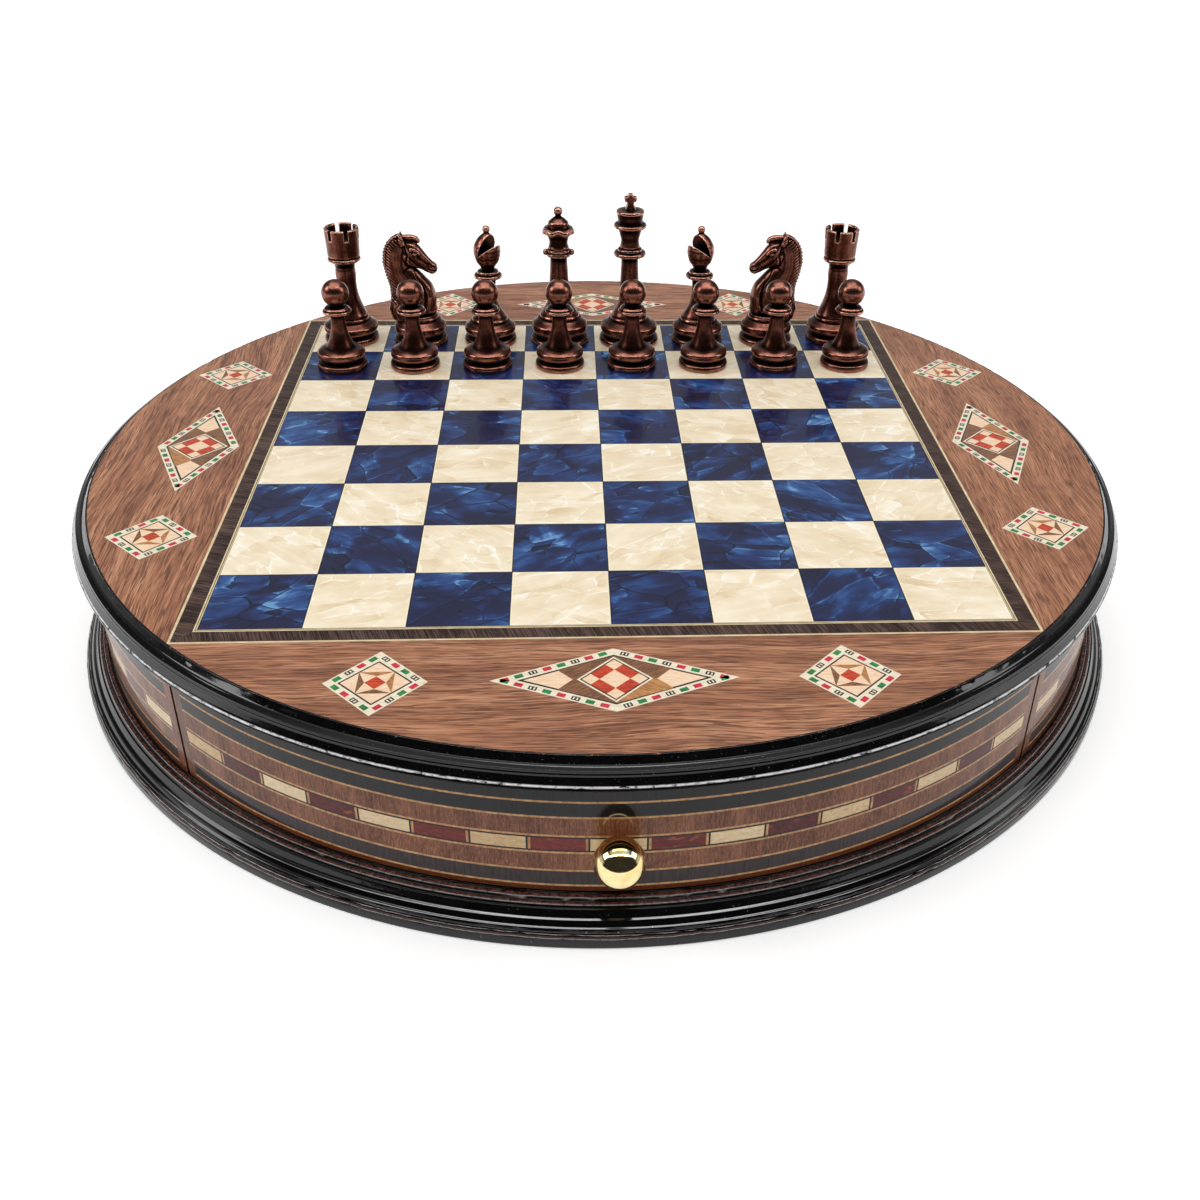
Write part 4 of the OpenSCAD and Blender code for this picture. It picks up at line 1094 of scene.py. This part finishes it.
PAWN = foot_rim(9.8) + [
    (8.9, 4.3), (9.35, 6.1, 0.12), (8.75, 7.3, 0.16), (6.3, 8.3, 0.05), (5.75, 8.5), (5.6, 8.9), (2.85, 19.9, -0.07),
    (2.8, 21.4), (3.3, 22.0, -0.15), (5.3, 22.4), (5.6, 23.0, 0.3), (5.25, 23.6, 0.2), (4.75, 23.8), (4.85, 24.3, 0.3),
    (4.3, 24.8), (3.2, 25.2), (2.9, 25.8, -0.2)] + ball(5.3, 30.2, -52)
pawn = turned(PAWN, 96)
for i in range(8):
    set_up(f"pawn_{i + 1}", [pawn], i - 3.5, 0, 2.5)

KING = foot(12.3, 11.7, 7.5, 11.0, 6.9) + [
    (3.8, 24.6, -0.08), (3.4, 35.0), (3.9, 35.9, -0.2), (6.1, 36.6), (6.5, 37.4, 0.3), (6.0, 38.1, 0.2), (4.7, 38.3),
    (4.9, 38.9, 0.35), (4.6, 39.5, 0.2), (3.85, 39.8), (4.0, 40.4, 0.3), (3.8, 41.2), (4.2, 44.9, -0.1),
    (5.0, 47.4, -0.08), (6.2, 48.1), (6.6, 48.8, 0.35), (6.1, 49.5, 0.2), (5.1, 49.8), (4.95, 50.4, -0.2), (5.35, 53.5),
    (5.6, 54.2, 0.3), (5.2, 54.9, 0.2), (4.4, 55.0), (2.4, 55.3), (1.9, 55.7), (1.1, 56.3, -0.1), (0, 56.5)]
HALF_CROSS = [(-2.2, 55.1), (-1.75, 56.3), (-1.3, 57.4), (-1.4, 58.1), (-2.4, 58.6), (-2.5, 60.1), (-1.2, 60.3),
              (-0.8, 61.3)]
cross = HALF_CROSS + [(-x, z) for x, z in reversed(HALF_CROSS)]
set_up("king", [turned(KING, 120), sculpt([block(cross, -1.35, 1.35)], 0.13, rounds=10)[:2]], 0.5)


def queen_shape(r, z, a):
    """Six lobes around the crown's rim."""
    lobe = math.cos(6 * a)
    rim = max(0.0, 1 - abs(z - 46.6) / 2.4) * min(1.0, max(0.0, (r - 4.4) / 1.4))
    return r + 0.34 * (lobe - 0.4) * rim, z - 0.62 * lobe * rim


QUEEN = foot(12.1, 11.5, 8.1, 12.0, 7.2) + [
    (4.0, 24.2, -0.1), (3.4, 35.2), (3.8, 35.9, -0.2), (4.6, 36.4), (4.95, 37.1, 0.35), (4.55, 37.8, 0.2),
    (4.35, 38.0), (4.6, 38.6, 0.35), (4.3, 39.2, 0.2), (4.0, 39.4), (4.15, 39.9, 0.35), (3.9, 40.4, 0.2), (3.75, 41.2),
    (4.0, 43.3, -0.08), (4.6, 44.7, -0.1), (5.7, 45.5, 0.05), (6.35, 46.5, 0.25), (5.7, 47.7, 0.15),
    (4.6, 48.4, -0.12), (4.2, 49.1, 0.1), (3.3, 50.7, 0.16), (1.9, 51.8, 0.05), (1.3, 52.3, -0.05),
    (1.15, 52.7)] + ball(1.8, 54.3, -50)
drop_points, drop_faces, _ = sculpt([turned([(0, -1.25)] + ball(1.3, 0, -72), 32, 0.05)], 0.16, rounds=1)
drops = [([(x + s * 5.15, y, z + 37.8) for x, y, z in drop_points], drop_faces) for s in (-1, 1)]
set_up("queen", [turned(QUEEN, 144, shape=queen_shape)] + drops, -0.5)

BISHOP = foot(10.8, 10.5, 7.3, 10.4, 6.4) + [
    (3.0, 24.9, -0.1), (3.1, 26.2), (3.6, 26.9, -0.2), (5.3, 27.4), (5.7, 28.1, 0.35), (5.2, 28.8, 0.2), (4.2, 29.1),
    (4.35, 29.7, 0.35), (4.0, 30.2, 0.2), (3.1, 30.5), (2.8, 31.3, -0.2), (3.2, 32.6), (0, 33.4)]
MITRE = [(0, 31.2), (2.6, 31.3), (3.5, 32.7, 0.02), (5.0, 35.7, 0.1), (5.4, 38.6, 0.08), (4.6, 41.8, 0.1),
         (2.6, 44.4, 0.06), (1.35, 45.3), (1.0, 45.8)] + ball(1.55, 46.95, -42)
MITRE_CUT = [(-1.0, 36.4), (14, 48.2), (14, 56), (5.0, 56.0)]
for name, file, turn in (("bishop_left", -1.5, -35), ("bishop_right", 1.5, -145)):
    mitre = sculpt([turned(MITRE, 72, 0.12)], 0.15, [block(MITRE_CUT, -9, 9, turn)], 2)[:2]
    set_up(name, [turned(BISHOP), mitre], file)

ROOK = foot(11.0, 11.0, 7.6, 10.2, 7.2) + [
    (4.15, 28.0, -0.08), (4.0, 30.2), (3.85, 30.5), (4.0, 30.9), (3.85, 31.2), (4.05, 31.6), (4.5, 32.6, -0.1),
    (6.2, 33.8), (6.6, 34.5, 0.35), (6.2, 35.1, 0.2), (5.9, 35.4), (0, 35.6)]
CUP = [(0, 34.6), (6.1, 34.6), (6.15, 35.7), (6.45, 36.1, 0.2), (6.55, 39.0), (6.95, 46.6), (6.85, 47.1, 0.2),
       (5.85, 47.1, 0.1), (5.6, 46.7), (5.55, 43.0), (5.0, 42.5), (0, 42.5)]
EMBRASURE = [(-0.78, 42.9), (0.78, 42.9), (0.88, 49), (-0.88, 49)]
for name, file, turn in (("rook_left", -3.5, 23.7), ("rook_right", 3.5, -25.2)):
    slots = [block(EMBRASURE, 3.5, 9, turn + 180 + 60 * k) for k in range(6)]
    set_up(name, [turned(ROOK), sculpt([turned(CUP, 96, 0.1)], 0.16, slots, 2)[:2]], file, 0)


# ---- knights ----

def tube(*stations, sides=28, power=2.3, spacing=0.5):
    """Closed form through stations (x, z, half thickness in the x-z plane, half thickness along y)."""
    s = np.array(stations, float)
    place = run_length(s[:, :2])
    even = np.linspace(0, place[-1], max(6, int(place[-1] / spacing)))
    dense = np.stack([np.interp(even, place, s[:, k]) for k in range(4)], 1)
    for _ in range(4):
        dense[1:-1] = (dense[:-2] + 2 * dense[1:-1] + dense[2:]) / 4
    ahead = np.gradient(dense[:, :2], axis=0)
    ahead /= np.linalg.norm(ahead, axis=1)[:, None]
    rows = [(dense[i, :2], ahead[i], dense[i, 2], dense[i, 3]) for i in range(len(dense))]

    def cap(row, sign):
        middle, way, h, w = row
        return [(middle + sign * way * min(h, w) * math.sin(t), way, h * math.cos(t), w * math.cos(t))
                for t in (0.35, 0.7, 1.0, 1.25, 1.42)]

    rows = cap(rows[0], -1)[::-1] + rows + cap(rows[-1], 1)
    points = []
    for middle, way, h, w in rows:
        side = np.array([way[1], -way[0]])
        for k in range(sides):
            c, q = (math.copysign(abs(v) ** (2 / power), v)
                    for v in (math.cos(2 * math.pi * k / sides), math.sin(2 * math.pi * k / sides)))
            p = middle + side * c * h
            points.append((p[0], q * w, p[1]))
    end = (len(rows) - 1) * sides
    faces = [tuple(reversed(range(sides))), tuple(range(end, end + sides))]
    for i in range(len(rows) - 1):
        faces += between_rings(i * sides, (i + 1) * sides, sides)
    return points, faces


def twins(form, away, splay=0.0, root=0.0):
    """A form on both sides, each away from the middle and further with its height over root."""
    points, faces = form
    return [([(x, y + s * (away + (z - root) * splay), z) for x, y, z in points], faces) for s in (-1, 1)]


def gap_to(points, path):
    """Distance in the x-z plane from points to a polyline."""
    best = np.full(len(points), 1e9)
    flat = points[:, [0, 2]]
    for a, b in zip(path[:-1], path[1:]):
        a, b = np.array(a, float), np.array(b, float)
        run = b - a
        t = np.clip(((flat - a) @ run) / (run @ run), 0, 1)
        best = np.minimum(best, np.linalg.norm(flat - a - t[:, None] * run, axis=1))
    return best


MANE = [(-7.2, 44.4), (-9.6, 43.4), (-11.8, 41.4), (-13.3, 38.4), (-13.9, 33.7), (-12.9, 28.4), (-11.4, 23.2),
        (-10.9, 18.6), (-11.9, 15.8)]
# Width and depth of what is pressed into the head: chest, mouth, jaw and nose; nostril and corners of the eye
GROOVES = (([(-1.2, 31.4), (-0.2, 28.4), (2.4, 25.0), (4.0, 21.2), (3.9, 17.4), (2.6, 14.4)], 0.34, 0.12),
           ([(8.6, 30.5), (6.6, 30.6), (5.0, 31.3)], 0.26, 0.4),
           ([(-4.4, 40.2), (-3.6, 37.0), (-4.4, 33.6)], 0.35, 0.35), ([(1.4, 36.0), (4.6, 33.6)], 1.0, 0.3))
PITS = (((7.3, 32.2), 0.5, 0.55), ((-1.3, 38.3), 0.45, 0.3), ((1.0, 37.0), 0.45, 0.3))


def mane_teeth(step=1.35):
    """The mane's ridge and a small tooth of hair at every step along it."""
    parts = [tube(*((x - (x + 5) * 0.07, z - 0.1, 0.9, 1.5) for x, z in MANE))]
    p = np.array(MANE, float)
    length = run_length(p)
    even = np.arange(0, length[-1], step)
    x, z = np.interp(even, length, p[:, 0]), np.interp(even, length, p[:, 1])
    way = np.stack([np.gradient(x), np.gradient(z)], 1)
    way /= np.linalg.norm(way, axis=1)[:, None]
    for x, z, (ux, uz) in zip(x, z, way):
        nx, nz = (uz, -ux) if uz < 0 else (-uz, ux)
        parts.append(tube((x - nx * 1.6, z - nz * 1.6 + 0.8, 0.62, 1.25), (x + nx * 0.1, z + nz * 0.1, 0.62, 1.0),
                          (x + nx * 0.55, z + nz * 0.55 - 0.35, 0.4, 0.55)))
    return parts


def knight_head():
    """A horse's head, neck and mane on a narrow plinth, as points and faces."""
    plinth = turned([(0, 11.0), (7.2, 11.0), (7.2, 12.4), (8.0, 13.0, 0.1), (8.6, 14.2, 0.1), (8.3, 15.4), (0, 16)],
                    72, 0.2)
    parts = [
        # neck, skull, jaw, muzzle, chest, forelock, crest and tail
        tube((-2.7, 12.0, 9.0, 5.6), (-2.6, 15, 9.4, 5.8), (-2.0, 18.5, 9.0, 5.5), (-2.9, 22, 8.4, 5.1),
             (-5.1, 25.9, 7.3, 4.5), (-7.6, 29.8, 5.6, 3.9), (-8.2, 33.5, 5.3, 3.6), (-8.0, 37.5, 5.2, 3.2),
             (-6.8, 41, 4.2, 2.5)),
        tube((-5.2, 40.6, 2.6, 2.2), (-3.2, 38.8, 4.1, 3.0), (-1.0, 36.8, 4.3, 3.3), (1.6, 34.9, 3.3, 2.7),
             (3.6, 33.4, 2.6, 2.2), (5.4, 32.0, 2.3, 2.1), (6.4, 31.2, 2.2, 2.1)),
        tube((-4.6, 36.6, 3.0, 3.2), (-2.6, 34.6, 3.0, 3.3), (-0.6, 33.4, 2.0, 2.5), (2.4, 31.9, 1.3, 1.7),
             (4.6, 30.6, 1.3, 1.6)),
        tube((5.2, 31.6, 2.3, 2.0), (6.4, 31.2, 2.5, 2.3)),
        tube((-1.5, 30.0, 1.2, 2.2), (1.2, 26.6, 1.9, 3.2), (3.6, 23.0, 2.8, 4.2), (4.6, 19.0, 3.0, 4.9),
             (4.0, 14.5, 3.0, 5.2)),
        tube((-5.5, 43.5, 1.1, 1.3), (-2.4, 43.7, 1.2, 1.4), (0.6, 43.2, 1.1, 1.3), (1.2, 42.2, 0.9, 1.0)),
        tube((-4.5, 42.2, 1.9, 1.5), (-1.8, 41.6, 1.7, 1.6), (-0.3, 40.3, 1.3, 1.4)),
        tube((-10.0, 18.5, 1.6, 2.2), (-10.6, 16.0, 1.5, 2.6), (-11.3, 14.3, 1.0, 2.2)),
        ([(x * 1.12 - 2.0, y * 0.72, z) for x, y, z in plinth[0]], plinth[1])]
    parts += twins(tube((-1.9, 39.3, 0.8, 0.9), (0.2, 38.9, 0.8, 0.8), (1.6, 37.3, 0.6, 0.5)), 2.4)  # brows
    parts += twins(tube((-0.55, 37.9, 0.75, 0.7), (0.15, 37.5, 0.75, 0.7)), 2.85)  # eyes
    parts += twins(tube((-5.4, 41.0, 1.5, 1.0), (-5.9, 42.8, 1.25, 0.9), (-6.2, 44.6, 0.75, 0.6),
                        (-6.35, 45.4, 0.3, 0.3)), 1.7, 0.07, 41)  # ears
    points, faces, normals = sculpt(parts + mane_teeth(), 0.22)
    x, z = points[:, 0], points[:, 2]
    side = np.clip((np.abs(points[:, 1]) - 1.0) / 0.8, 0, 1)
    push = np.zeros(len(points))
    for path, width, depth in GROOVES:
        push -= depth * np.exp(-(gap_to(points, path) / width) ** 2) * side
    for place, width, depth in PITS:
        push -= depth * np.exp(-((x - place[0]) ** 2 + (z - place[1]) ** 2) / width ** 2) * side
    hair = np.sin((z * 0.9 + x * 0.55) * 5.2) * np.clip(1 - gap_to(points, MANE) / 3.6, 0, 1)
    push += 0.1 * hair * side * (z > 17)
    points = points + normals * push[:, None]
    high = np.clip((points[:, 2] - 14) / 10, 0, 1)
    points[:, 0] = points[:, 0] * (1 - 0.05 * high) + 0.4 * high
    return points, faces


KNIGHT = foot(11.0, 10.6, 7.6, 11.4, 7.0)[:-1] + [(6.6, 12.3), (0, 12.6)]
head_points, head_faces = knight_head()
for name, file, facing in (("knight_left", -2.5, 1), ("knight_right", 2.5, -1)):
    placed = [(x * facing, y * facing, z) for x, y, z in head_points.tolist()]
    set_up(name, [turned(KNIGHT), (placed, head_faces)], file)


# ---- sizes and finish ----

def plain(value):
    """Nested plain lists of numbers."""
    if isinstance(value, (int, float)):
        return float(value)
    return [plain(v) for v in value]


{"cad": plain(CAD_BOX), "visual": plain(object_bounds())}
